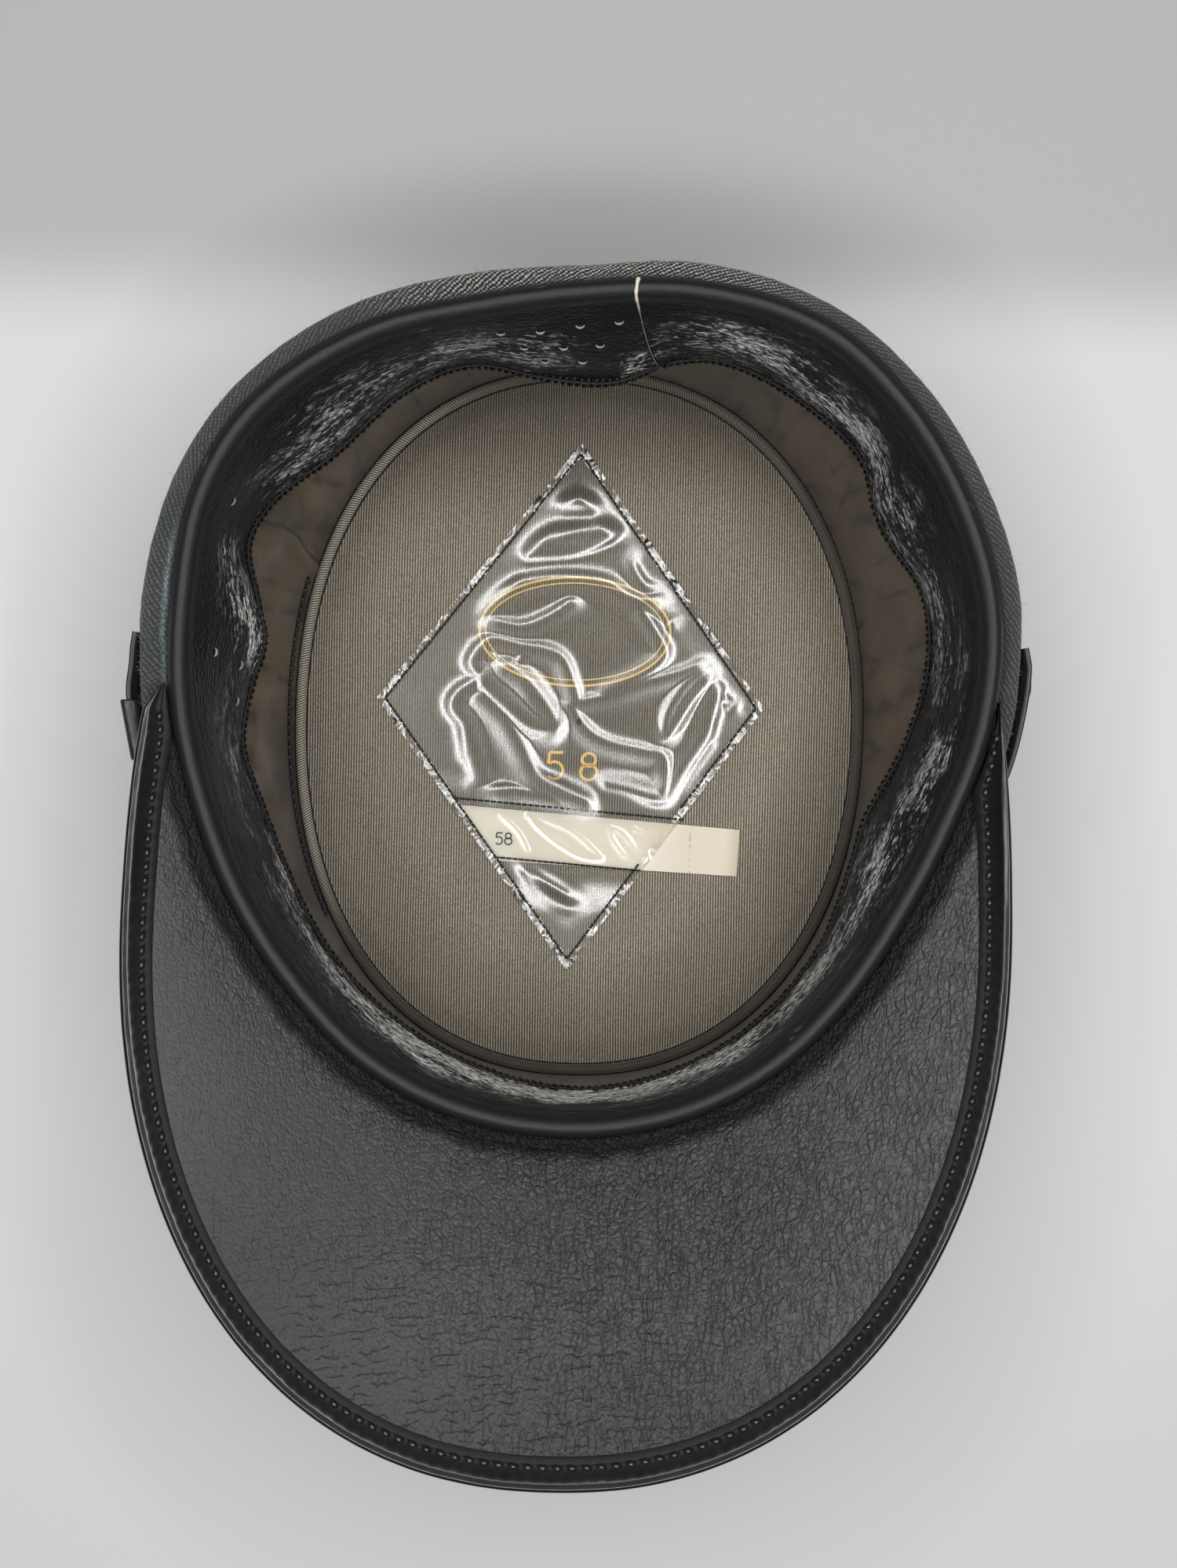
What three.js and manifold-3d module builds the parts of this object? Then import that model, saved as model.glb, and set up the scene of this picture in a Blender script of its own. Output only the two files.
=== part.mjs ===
// Stiff uniform kepi lying upside down on its crown. Millimetres, +Z up, origin at the middle of
// the crown's outside. The visor points along -Y, the back of the cap along +Y.
// A bearing is measured in degrees from the back, turning towards +X.
import * as THREE from "three";
import { mergeVertices } from "three/addons/utils/BufferGeometryUtils.js";
import Module from "manifold-3d";

// Driving dimensions
const GAP = 0.3; // clearance between neighbouring pieces
const LINING_GAP = 0.5; // the side lining hangs a little looser
const RIM_HEIGHT = 90; // opening edge above the crown, at the sides
const RIM_TILT = 5; // the back stands this much higher, the front this much lower
const CLOTH_WALL = 3;
const LINING_WALL = 1;
const LEATHER_WALL = 1.4;
const LINING_HALF_WIDTH = 74.2; // crown lining oval with its piping
const LINING_HALF_LENGTH = 92.4;
const CROWN_OVAL_POWER = 2.2;
const CROWN_THICKNESS = 3;
const CROWN_SEAM = 0.6; // the crown stands out past the linings by this seam
const CROWN_ROUND = 0.8; // rounding of the crown plate's edges
const CROWN_LINING_DOME = 1.4;
const CROWN_LINING_THICKNESS = 1.6; // at its edge
const PIPING_RADIUS = 1.3;
const SWEATBAND_DEPTH = 36;
const SWEATBAND_BOW = 1.4; // over 1, the band leans in most just under its roll
const SWEATBAND_FRAMES = [0.35, 0.7]; // shares of the depth where the band's lean is set
const SEAM_TOP_BEARING = 6.7; // butt seam of the sweatband, at the rim and at the lower edge
const SEAM_LOW_BEARING = 12;
const SEAM_GAP = 0.35; // degrees
const VISOR = { x: -1.3, y: -42, halfWidth: 98.1, halfLength: 123.4 };
const VISOR_FRONT_POWER = 2.21; // roundness of the outline in front of its middle and behind it
const VISOR_BACK_POWER = 2.6;
const VISOR_SKEW = 0.005; // the tip leans this much to the left over each millimetre forward
const VISOR_START = 87.5; // bearings of the visor's two ends
const VISOR_END = 272.5;
const VISOR_END_WIDTH = 1.4; // width at each end, and its growth over a degree
const VISOR_END_GROWTH = 1.25;
const VISOR_TIP_HEIGHT = 118;
const VISOR_SIDE_HEIGHT = 89.2;
const VISOR_CAMBER = 2.4;
const VISOR_BELOW_ROLL = 1.5; // the lining starts this far below the sweatband's roll
const VISOR_LINING = 1;
const VISOR_SHELL = 1.5;
const BINDING_WIDTH = 7;
const BINDING_UNDER_WIDTH = 5;
const BINDING_LEATHER = 1;
const BINDING_PROUD = 0.5; // the binding stands above the lining by this step
const STRAP_THICKNESS = 1.3;
const STRAP_WIDTH = 14;
const STRAP_BELOW_RIM = 7;
const STRAP_START = 80.6;
const STRAP_END = 279;
const SLIDER_START = 262.5;
const SLIDER_END = 270.3;
const SLIDER_WALL = 1;
const STUD_BEARINGS = { side_stud_right: 85, side_stud_left: 275 };
const STUD_HEAD_RADIUS = 4.5;
const STUD_HEAD_HEIGHT = 1.4;
const STUD_SHANK_RADIUS = 1.2;
const STUD_DEPTH = 2.4; // the shank's reach into the cloth from the strap's inner face
const SHIELD_THICKNESS = 0.6;
const CARD_THICKNESS = 0.5;

// Plan radii from the middle of the crown: outside of the cloth at the rim, outside of the
// sweatband's roll.
const RIM_PLAN = [
  { bearing: 0, cloth: 99.1, roll: 95.3 },
  { bearing: 15, cloth: 103.6, roll: 99.2 },
  { bearing: 32, cloth: 106.8, roll: 103 },
  { bearing: 45, cloth: 106.3, roll: 102 },
  { bearing: 60, cloth: 104.5, roll: 99.8 },
  { bearing: 75, cloth: 102.3, roll: 97.5 },
  { bearing: 90, cloth: 98.8, roll: 93.3 },
  { bearing: 105, cloth: 94, roll: 88.9 },
  { bearing: 120, cloth: 92.4, roll: 87.7 },
  { bearing: 135, cloth: 94.4, roll: 89.9 },
  { bearing: 150, cloth: 97.8, roll: 93.4 },
  { bearing: 165, cloth: 100.2, roll: 95.7 },
  { bearing: 180, cloth: 100.8, roll: 96.3 },
  { bearing: 195, cloth: 100.4, roll: 95.9 },
  { bearing: 210, cloth: 98.6, roll: 94.1 },
  { bearing: 225, cloth: 95.7, roll: 90.9 },
  { bearing: 240, cloth: 94.4, roll: 89.3 },
  { bearing: 255, cloth: 95.4, roll: 89.2 },
  { bearing: 270, cloth: 98.8, roll: 91.3 },
  { bearing: 285, cloth: 101.4, roll: 94.4 },
  { bearing: 300, cloth: 104.5, roll: 99.5 },
  { bearing: 312, cloth: 105.5, roll: 100.8 },
  { bearing: 330, cloth: 103.4, roll: 98.2 },
  { bearing: 345, cloth: 100.2, roll: 94.8 },
];

// Crests and hollows of the sweatband's wavy lower edge, as plan radii
const SWEATBAND_WAVES = [
  { bearing: 0, edge: 78.4 },
  { bearing: 6, edge: 79.5 },
  { bearing: 14, edge: 86.5 },
  { bearing: 21, edge: 90.3 },
  { bearing: 35, edge: 91.2 },
  { bearing: 47, edge: 90.4 },
  { bearing: 54, edge: 85.8 },
  { bearing: 60, edge: 84.8 },
  { bearing: 69, edge: 87 },
  { bearing: 80, edge: 84.5 },
  { bearing: 92, edge: 79.2 },
  { bearing: 107, edge: 73.2 },
  { bearing: 118, edge: 74.8 },
  { bearing: 132, edge: 80.2 },
  { bearing: 150, edge: 85.7 },
  { bearing: 168, edge: 89.2 },
  { bearing: 180, edge: 89.9 },
  { bearing: 197, edge: 87.6 },
  { bearing: 222, edge: 83 },
  { bearing: 240, edge: 79.2 },
  { bearing: 252, edge: 78.6 },
  { bearing: 264, edge: 80.4 },
  { bearing: 274, edge: 78.2 },
  { bearing: 282, edge: 76.8 },
  { bearing: 289, edge: 81.5 },
  { bearing: 296, edge: 88.2 },
  { bearing: 303, edge: 88.6 },
  { bearing: 316, edge: 84.6 },
  { bearing: 332, edge: 87 },
  { bearing: 342, edge: 86.4 },
  { bearing: 352, edge: 80.5 },
];

// Soft wrinkles of the side lining that push into the hollow
const LINING_WRINKLES = [
  { bearing: 62, spread: 5, push: 0.9 },
  { bearing: 112, spread: 6, push: 0.8 },
  { bearing: 247, spread: 4, push: 1.3 },
  { bearing: 258, spread: 3, push: 0.9 },
  { bearing: 268, spread: 3, push: 1.5 },
  { bearing: 287, spread: 4, push: 1.2 },
  { bearing: 318, spread: 6, push: 0.8 },
];

// The hem's top lies this far below the rim height, lower where the visor's ends press on it.
const HEM_DROP = [
  { bearing: 0, drop: 2 },
  { bearing: 72, drop: 2.2 },
  { bearing: 84.5, drop: 6.2 },
  { bearing: 104, drop: 6.2 },
  { bearing: 112, drop: 4.8 },
  { bearing: 180, drop: 4.8 },
  { bearing: 248, drop: 4.8 },
  { bearing: 256, drop: 6.2 },
  { bearing: 274, drop: 6.2 },
  { bearing: 288, drop: 2.2 },
];

// The hem's rounded top: shares of its width from the outside in, and depths below its top
const HEM_CURVE = [
  { share: 0.04, down: 1.4 },
  { share: 0.25, down: 0.35 },
  { share: 0.5, down: 0 },
  { share: 0.75, down: 0.35 },
  { share: 1, down: 1.5 },
  { share: 1, down: 6 },
];

// The strap stands off the cloth where its ends and its slider lift it.
const STRAP_STANDOFF = [
  { bearing: 80, gap: 0.5 },
  { bearing: 83.5, gap: 1.4 },
  { bearing: 91, gap: 1.1 },
  { bearing: 97, gap: 1.2 },
  { bearing: 110, gap: 0.5 },
  { bearing: 180, gap: 0.5 },
  { bearing: 250, gap: 0.6 },
  { bearing: 260, gap: 2 },
  { bearing: 271, gap: 2 },
  { bearing: 276, gap: 1 },
  { bearing: 280, gap: 0.5 },
];

// Corners of the plastic diamond and of the card under it
const SHIELD = {
  back: [-1, 73],
  right: [48.4, 4.6],
  front: [-1.8, -65.2],
  left: [-53.1, 5.2],
};
const CARD = {
  backLeft: [-31, -22.4],
  backRight: [42.6, -27.3],
  frontRight: [42.1, -39.5],
  frontLeft: [-20.4, -36.8],
};
const CARD_POCKET = { y: -31, halfDepth: 14, lift: CARD_THICKNESS + GAP };

const radians = THREE.MathUtils.degToRad;
const lerp = THREE.MathUtils.lerp;
const smooth = (x, low, high) => THREE.MathUtils.smoothstep(x, low, high);
const at = (bearing, radius, z) => [
  radius * Math.sin(radians(bearing)),
  radius * Math.cos(radians(bearing)),
  z,
];

// A smooth closed curve through one column of a table of bearings
function around(table, column) {
  const rows = table.length;
  const row = (i) => table[((i % rows) + rows) % rows];
  const bearing = (i) => row(i).bearing + 360 * Math.floor(i / rows);
  const slope = (i) =>
    (row(i + 1)[column] - row(i - 1)[column]) / (bearing(i + 1) - bearing(i - 1));
  return (angle) => {
    const wrapped = ((angle % 360) + 360) % 360;
    let i = -1;
    while (bearing(i + 1) <= wrapped) i += 1;
    const span = bearing(i + 1) - bearing(i);
    const t = (wrapped - bearing(i)) / span;
    const s = t * t * (3 - 2 * t);
    return (
      lerp(row(i)[column], row(i + 1)[column], s) +
      span * (slope(i) * t * (1 - t) ** 2 - slope(i + 1) * t ** 2 * (1 - t))
    );
  };
}

const clothRadius = around(RIM_PLAN, "cloth");
const rollRadius = around(RIM_PLAN, "roll");
const waveRadius = around(SWEATBAND_WAVES, "edge");
const rimHeight = (bearing) => RIM_HEIGHT + RIM_TILT * Math.cos(radians(bearing));

// Straight runs between the rows of an open table, eased at each row
function along(table, column) {
  return (bearing) => {
    let i = 0;
    while (i < table.length - 2 && bearing > table[i + 1].bearing) i += 1;
    const low = table[i];
    const high = table[i + 1];
    return lerp(low[column], high[column], smooth(bearing, low.bearing, high.bearing));
  };
}

const hemDrop = along([...HEM_DROP, { bearing: 360, drop: 2 }], "drop");
const hemTop = (bearing) => rimHeight(bearing) - hemDrop(bearing);
const standoff = along(STRAP_STANDOFF, "gap");

// Radius of the crown's oval, grown by a margin
function ovalRadius(bearing, margin = 0) {
  const across = Math.abs(Math.sin(radians(bearing))) / (LINING_HALF_WIDTH + margin);
  const length = Math.abs(Math.cos(radians(bearing))) / (LINING_HALF_LENGTH + margin);
  return (across ** CROWN_OVAL_POWER + length ** CROWN_OVAL_POWER) ** (-1 / CROWN_OVAL_POWER);
}

// The cloth wall runs from the crown's edge to the rim.
const WALL_MARGIN = LINING_WALL + GAP + CLOTH_WALL + CROWN_SEAM;
const WALL_FOOT = CROWN_THICKNESS + GAP;
const HEM_ROUND = 3; // the hem curves in over this height
const outsideRadius = (bearing, z) => {
  const share = Math.min(1, (z - WALL_FOOT) / (hemTop(bearing) - HEM_ROUND - WALL_FOOT));
  return lerp(ovalRadius(bearing, WALL_MARGIN), clothRadius(bearing), share);
};

// Turns a list of closed outlines into one closed solid. A ring joins its last outline to its
// first, and an open run gets flat ends.
function skin(outlines, ring) {
  const count = outlines[0].length;
  const runs = ring ? outlines.length : outlines.length - 1;
  const index = [];
  for (let i = 0; i < runs; i += 1) {
    for (let j = 0; j < count; j += 1) {
      const a = i * count + j;
      const b = i * count + ((j + 1) % count);
      const c = ((i + 1) % outlines.length) * count + ((j + 1) % count);
      const d = ((i + 1) % outlines.length) * count + j;
      index.push(a, b, c, a, c, d);
    }
  }
  const geometry = new THREE.BufferGeometry();
  geometry.setAttribute("position", new THREE.Float32BufferAttribute(outlines.flat(2), 3));
  if (!ring) {
    for (const [start, turn] of [[0, 1], [(outlines.length - 1) * count, -1]]) {
      const points = outlines[start / count];
      for (const [a, b, c] of capTriangles(points)) {
        if (turn > 0) index.push(start + a, start + c, start + b);
        else index.push(start + a, start + b, start + c);
      }
    }
  }
  geometry.setIndex(index);
  return facingOut(geometry);
}

// Triangles of a flat outline, found in the plane where it is widest
function capTriangles(points) {
  const vectors = points.map((p) => new THREE.Vector3(...p));
  const normal = new THREE.Vector3();
  vectors.forEach((p, i) => {
    const next = vectors[(i + 1) % vectors.length];
    normal.x += (p.y - next.y) * (p.z + next.z);
    normal.y += (p.z - next.z) * (p.x + next.x);
    normal.z += (p.x - next.x) * (p.y + next.y);
  });
  normal.normalize();
  const helper = Math.abs(normal.z) < 0.9 ? new THREE.Vector3(0, 0, 1) : new THREE.Vector3(1, 0, 0);
  const across = new THREE.Vector3().crossVectors(helper, normal).normalize();
  const up = new THREE.Vector3().crossVectors(normal, across);
  const flat = vectors.map((p) => new THREE.Vector2(p.dot(across), p.dot(up)));
  return THREE.ShapeUtils.triangulateShape(flat, []);
}

// Reverses the faces of a geometry that is inside out
function facingOut(geometry) {
  const p = geometry.getAttribute("position");
  const index = geometry.getIndex();
  const corner = [0, 1, 2].map(() => new THREE.Vector3());
  let volume = 0;
  for (let i = 0; i < index.count; i += 3) {
    corner.forEach((v, k) => v.fromBufferAttribute(p, index.getX(i + k)));
    volume += corner[0].dot(corner[1].clone().cross(corner[2]));
  }
  if (volume < 0) index.array.reverse();
  geometry.computeVertexNormals();
  return geometry;
}

// Sweeps a section in the plane of each bearing. The section gives [radius, height] pairs.
function sweep(from, to, steps, section, ring = false) {
  const outlines = [];
  for (let i = 0; i < steps + (ring ? 0 : 1); i += 1) {
    const bearing = lerp(from, to, i / steps);
    outlines.push(section(bearing).map(([radius, z]) => at(bearing, radius, z)));
  }
  return skin(outlines, ring);
}

// A sheet over a grid: each place gives its plan point, and the height of its foot is worked out
// there.
function sheet(columns, rows, place, footAt, thickness) {
  const strips = [];
  for (let i = 0; i <= columns; i += 1) {
    const line = [];
    for (let j = 0; j <= rows; j += 1) line.push(place(i / columns, j / rows));
    const top = line.map(([x, y]) => [x, y, footAt(x, y) + thickness]);
    const foot = line.map(([x, y]) => [x, y, footAt(x, y)]).reverse();
    strips.push([...top, ...foot]);
  }
  return skin(strips, false);
}

// A flat or domed oval plate: each level is an oval of a share of the full size at its height.
function oval(sides, margin, levels) {
  const outlines = levels.map(({ share, z }) => {
    const outline = [];
    for (let i = 0; i < sides; i += 1) {
      const bearing = (360 * i) / sides;
      outline.push(at(bearing, ovalRadius(bearing, margin) * share, z));
    }
    return outline;
  });
  return skin(outlines, false);
}

const wasm = await Module();
wasm.setup();

// Cuts one closed geometry out of another
function cut(geometry, tools) {
  const solid = (source) => {
    const bare = source.clone();
    bare.deleteAttribute("normal");
    bare.deleteAttribute("uv");
    const merged = mergeVertices(bare, 1e-3);
    return new wasm.Manifold(
      new wasm.Mesh({
        numProp: 3,
        vertProperties: new Float32Array(merged.getAttribute("position").array),
        triVerts: new Uint32Array(merged.getIndex().array),
      }),
    );
  };
  const left = tools.reduce((body, tool) => body.subtract(solid(tool)), solid(geometry)).getMesh();
  const result = new THREE.BufferGeometry();
  const points = Array.from(left.vertProperties);
  result.setAttribute("position", new THREE.Float32BufferAttribute(points, 3));
  result.setIndex(Array.from(left.triVerts));
  result.computeVertexNormals();
  return result;
}

// Cloth side wall, which thickens into a hem against the sweatband's roll
const insideRadius = (bearing, z) => outsideRadius(bearing, z) - CLOTH_WALL;

function wallSection(bearing) {
  const top = hemTop(bearing);
  const outer = clothRadius(bearing);
  const inner = rollRadius(bearing) + GAP;
  const outside = [0, 0.5, 1].map((share) => lerp(WALL_FOOT, top - HEM_ROUND, share));
  const hem = HEM_CURVE.map(({ share, down }) => [lerp(outer, inner, share), top - down]);
  const inside = [0.9, 0.5, 0].map((share) => lerp(WALL_FOOT, top, share));
  return [
    ...outside.map((z) => [outsideRadius(bearing, z), z]),
    ...hem,
    ...inside.map((z) => [insideRadius(bearing, z), z]),
  ];
}

// Middle of the strap's inner face at a stud
function studLine(bearing) {
  const z = rimHeight(bearing) - STRAP_BELOW_RIM - STRAP_WIDTH / 2;
  const radius = strapInside(bearing, z);
  return { z, radius };
}

// Turns a shape made along +Y square to the strap, and puts it on the strap's inner face
function seatStud(geometry, bearing) {
  const { z, radius } = studLine(bearing);
  const lean = (outsideRadius(bearing, z + 1) - outsideRadius(bearing, z - 1)) / 2;
  geometry.rotateX(-Math.atan(lean));
  geometry.rotateZ(-radians(bearing));
  geometry.translate(...at(bearing, radius, z));
  return geometry;
}

function studHole(bearing) {
  const radius = STUD_SHANK_RADIUS + GAP;
  return seatStud(new THREE.CylinderGeometry(radius, radius, 4 * STUD_DEPTH, 10), bearing);
}

// Lining of the side wall

function wrinkle(bearing, z) {
  const fade = smooth(z, 8, 30);
  return LINING_WRINKLES.reduce((sum, fold) => {
    const off = (bearing - fold.bearing) / fold.spread;
    return sum + fold.push * fade * Math.exp(-off * off);
  }, 0);
}

const LINING_FOOT = WALL_FOOT + LINING_GAP;
const LINING_BELOW_RIM = 17; // its top edge is hidden behind the sweatband
const liningTop = (bearing) => rimHeight(bearing) - LINING_BELOW_RIM;

function liningSection(bearing) {
  const shares = [0, 0.33, 0.66, 1];
  const heights = shares.map((share) => lerp(LINING_FOOT, liningTop(bearing), share));
  const outside = heights.map((z) => [insideRadius(bearing, z) - LINING_GAP, z]);
  const inside = heights.map((z) => {
    const radius = insideRadius(bearing, z) - LINING_GAP - LINING_WALL - wrinkle(bearing, z);
    return [radius, z];
  });
  return [...outside, ...inside.reverse()];
}

// Crown lining, a low padded dome, and the cord round it

const CROWN_LINING_FOOT = WALL_FOOT;
const CROWN_LINING_EDGE = CROWN_LINING_FOOT + CROWN_LINING_THICKNESS;

function crownLiningTop(x, y) {
  const across = Math.abs(x) / LINING_HALF_WIDTH;
  const length = Math.abs(y) / LINING_HALF_LENGTH;
  const out = across ** CROWN_OVAL_POWER + length ** CROWN_OVAL_POWER;
  return CROWN_LINING_EDGE + CROWN_LINING_DOME * Math.max(0, 1 - out);
}

const CROWN_LINING_MARGIN = -2 * PIPING_RADIUS - GAP;

function crownLining() {
  const shares = [0.05, 0.4, 0.7, 0.9, 1];
  const levels = [{ share: 1, z: CROWN_LINING_FOOT }];
  for (const share of shares.reverse()) {
    const z = CROWN_LINING_EDGE + CROWN_LINING_DOME * (1 - share ** CROWN_OVAL_POWER);
    levels.push({ share, z });
  }
  return oval(48, CROWN_LINING_MARGIN, levels);
}

function piping() {
  const sides = 6;
  const middle = CROWN_LINING_EDGE + 0.5;
  return sweep(0, 360, 60, (bearing) => {
    const section = [];
    for (let i = 0; i < sides; i += 1) {
      const turn = (2 * Math.PI * i) / sides;
      const radius = ovalRadius(bearing, -PIPING_RADIUS) + PIPING_RADIUS * Math.cos(turn);
      section.push([radius, middle + PIPING_RADIUS * Math.sin(turn)]);
    }
    return section;
  }, true);
}

// Sweatband

// The rolled edge from its outside over its crest, and the back of its fold. Both are measured
// from the roll's plan radius and the rim height.
const SWEATBAND_ROLL = [
  { inward: 0, down: 5 },
  { inward: 0, down: 1.8 },
  { inward: 0.9, down: 0.2 },
  { inward: 2.7, down: -0.4 },
  { inward: 4.6, down: 0.9 },
  { inward: 5.8, down: 3.6 },
];
const SWEATBAND_BACK = [
  { inward: 4.4, down: 4 },
  { inward: 2.7, down: 1.2 },
  { inward: 1.4, down: 5 },
];

function sweatbandSection(bearing) {
  const roll = rollRadius(bearing);
  const rim = rimHeight(bearing);
  const edge = Math.min(waveRadius(bearing), roll - 5);
  const place = ({ inward, down }) => [roll - inward, rim - down];
  const { inward, down } = SWEATBAND_ROLL.at(-1);
  const front = [...SWEATBAND_FRAMES, 1].map((share) => [
    lerp(roll - inward, edge, 1 - (1 - share) ** SWEATBAND_BOW),
    rim - lerp(down, SWEATBAND_DEPTH, share),
  ]);
  const back = front.map(([radius, z]) => [radius + LEATHER_WALL, z]).reverse();
  return [...SWEATBAND_ROLL.map(place), ...front, ...back, ...SWEATBAND_BACK.map(place)];
}

function sweatband() {
  const steps = 88;
  const outlines = [];
  for (let i = 0; i <= steps; i += 1) {
    const seam = (z, bearing) => {
      const share = (rimHeight(bearing) - z) / SWEATBAND_DEPTH;
      return lerp(SEAM_TOP_BEARING, SEAM_LOW_BEARING, Math.max(0, share));
    };
    const base = lerp(SEAM_GAP / 2, 360 - SEAM_GAP / 2, i / steps);
    const flat = sweatbandSection(base + SEAM_TOP_BEARING);
    outlines.push(
      flat.map(([, z], k) => {
        const bearing = base + seam(z, base + SEAM_TOP_BEARING);
        const [radius, height] = sweatbandSection(bearing)[k];
        return at(bearing, radius, height);
      }),
    );
  }
  return skin(outlines, false);
}

// Visor: a cambered sheet from the sweatband's roll to a plane outline

const visorInside = (bearing) => rollRadius(bearing) + GAP;

function visorOutside(bearing) {
  const [dx, dy] = at(bearing, 1, 0);
  let low = 0;
  let high = 200;
  for (let i = 0; i < 40; i += 1) {
    const radius = (low + high) / 2;
    const forward = VISOR.y - radius * dy;
    const across = Math.abs(radius * dx - VISOR.x + VISOR_SKEW * forward) / VISOR.halfWidth;
    const length = Math.abs(forward) / VISOR.halfLength;
    const power = forward > 0 ? VISOR_FRONT_POWER : VISOR_BACK_POWER;
    if (across ** power + length ** power < 1) low = radius;
    else high = radius;
  }
  const fromEnd = Math.max(0, Math.min(bearing - VISOR_START, VISOR_END - bearing));
  const taper = VISOR_END_WIDTH + VISOR_END_GROWTH * fromEnd;
  return Math.min(low, visorInside(bearing) + taper);
}

function visorHeight(bearing, radius) {
  const inside = visorInside(bearing);
  const outside = visorOutside(bearing);
  const share = (radius - inside) / (outside - inside);
  const y = outside * Math.cos(radians(bearing));
  const tip = VISOR.y - VISOR.halfLength;
  const edge = lerp(VISOR_SIDE_HEIGHT, VISOR_TIP_HEIGHT - BINDING_PROUD, y / tip);
  const camber = VISOR_CAMBER * smooth(outside - inside, 4, 40) * 4 * share * (1 - share);
  return lerp(rimHeight(bearing) - VISOR_BELOW_ROLL, edge, share) + camber;
}

// How far a width measured square to the edge reaches along a bearing
function slanted(bearing, width) {
  const step = 0.5;
  const here = visorOutside(bearing);
  const rate = (visorOutside(bearing + step) - visorOutside(bearing - step)) / radians(2 * step);
  return width * Math.hypot(1, rate / here);
}

const SHELL_TOP = -VISOR_LINING - GAP;
const SHELL_FOOT = SHELL_TOP - VISOR_SHELL;
const BINDING_FOOT = SHELL_FOOT - GAP - BINDING_LEATHER;
const BINDING_BEAD = 1.3;
const bindingInside = (bearing) =>
  Math.max(visorInside(bearing) + 0.2, visorOutside(bearing) - slanted(bearing, BINDING_WIDTH));

// A strip of the visor between two radii and two depths below its lined face
function visorStrip(from, to, steps, inner, outer, top, foot, divisions) {
  return sweep(from, to, steps, (bearing) => {
    const radii = [];
    for (let i = 0; i <= divisions; i += 1) {
      radii.push(lerp(inner(bearing), outer(bearing), i / divisions));
    }
    const upper = radii.map((r) => [r, visorHeight(bearing, r) + top]);
    const lower = radii.map((r) => [r, visorHeight(bearing, r) + foot]);
    return [...upper, ...lower.reverse()];
  });
}

function bindingSection(bearing) {
  const outside = visorOutside(bearing);
  const inside = bindingInside(bearing);
  const width = outside - inside;
  const clear = clothRadius(bearing) + GAP + 0.4;
  const under = Math.max(outside - slanted(bearing, BINDING_UNDER_WIDTH), clear);
  const bead = outside - Math.min(BINDING_BEAD, 0.5 * width);
  const lip = Math.min(under, bead - 0.2 * Math.min(width, 2));
  const round = Math.min(0.9, 0.3 * width);
  const level = (radius, depth) => [radius, visorHeight(bearing, radius) + depth];
  return [
    level(inside, SHELL_TOP + GAP),
    level(inside, BINDING_PROUD - 0.2),
    level(lerp(inside, outside, 0.15), BINDING_PROUD),
    level(lerp(inside, outside, 0.6), BINDING_PROUD),
    level(outside - round, BINDING_PROUD),
    level(outside, -0.4),
    level(outside, BINDING_FOOT + 1),
    level(outside - round, BINDING_FOOT),
    level(lip, BINDING_FOOT),
    level(lip, BINDING_FOOT + BINDING_LEATHER),
    level(bead, BINDING_FOOT + BINDING_LEATHER),
    level(bead, SHELL_TOP + GAP),
  ];
}

// Chin strap round the front, with its slider and studs

function strapInside(bearing, z) {
  return outsideRadius(bearing, z) + standoff(bearing);
}

function strapSection(bearing) {
  const top = rimHeight(bearing) - STRAP_BELOW_RIM;
  const foot = top - STRAP_WIDTH;
  const inside = (z) => strapInside(bearing, z);
  return [
    [inside(foot), foot],
    [inside(top), top],
    [inside(top) + STRAP_THICKNESS, top],
    [inside(foot) + STRAP_THICKNESS, foot],
  ];
}

function slider() {
  const frame = (bearing, grow) => {
    const [a, b, c, d] = strapSection(bearing);
    return [
      at(bearing, a[0] - grow, a[1] - grow),
      at(bearing, b[0] - grow, b[1] + grow),
      at(bearing, c[0] + grow, c[1] + grow),
      at(bearing, d[0] + grow, d[1] - grow),
    ];
  };
  const steps = 4;
  const tube = (grow, spare) => {
    const outlines = [];
    for (let i = 0; i <= steps; i += 1) {
      const bearing = lerp(SLIDER_START - spare, SLIDER_END + spare, i / steps);
      outlines.push(frame(bearing, grow));
    }
    return skin(outlines, false);
  };
  return cut(tube(GAP + SLIDER_WALL, 0), [tube(GAP, 1)]);
}

function stud(bearing) {
  const head = STRAP_THICKNESS + GAP;
  const profile = [
    [0, -STUD_DEPTH],
    [STUD_SHANK_RADIUS, -STUD_DEPTH],
    [STUD_SHANK_RADIUS, head],
    [STUD_HEAD_RADIUS, head],
    [STUD_HEAD_RADIUS, head + 0.5 * STUD_HEAD_HEIGHT],
    [STUD_HEAD_RADIUS - 1.2, head + STUD_HEAD_HEIGHT],
    [0, head + STUD_HEAD_HEIGHT],
  ].map(([r, h]) => new THREE.Vector2(r, h));
  return closed(seatStud(new THREE.LatheGeometry(profile, 12), bearing));
}

// Joins the seam and the poles of a turned shape
function closed(geometry) {
  geometry.deleteAttribute("normal");
  geometry.deleteAttribute("uv");
  return facingOut(mergeVertices(geometry, 1e-3));
}

// Plastic diamond and card on the crown lining

const corners = (a, b, c, d) => (u, v) => {
  const mix = (k) => lerp(lerp(a[k], b[k], u), lerp(d[k], c[k], u), v);
  return [mix(0), mix(1)];
};

const shieldPlace = corners(SHIELD.back, SHIELD.right, SHIELD.front, SHIELD.left);
const cardPlace = corners(CARD.backLeft, CARD.backRight, CARD.frontRight, CARD.frontLeft);
const cardFoot = (x, y) => crownLiningTop(x, y) + GAP;

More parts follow.
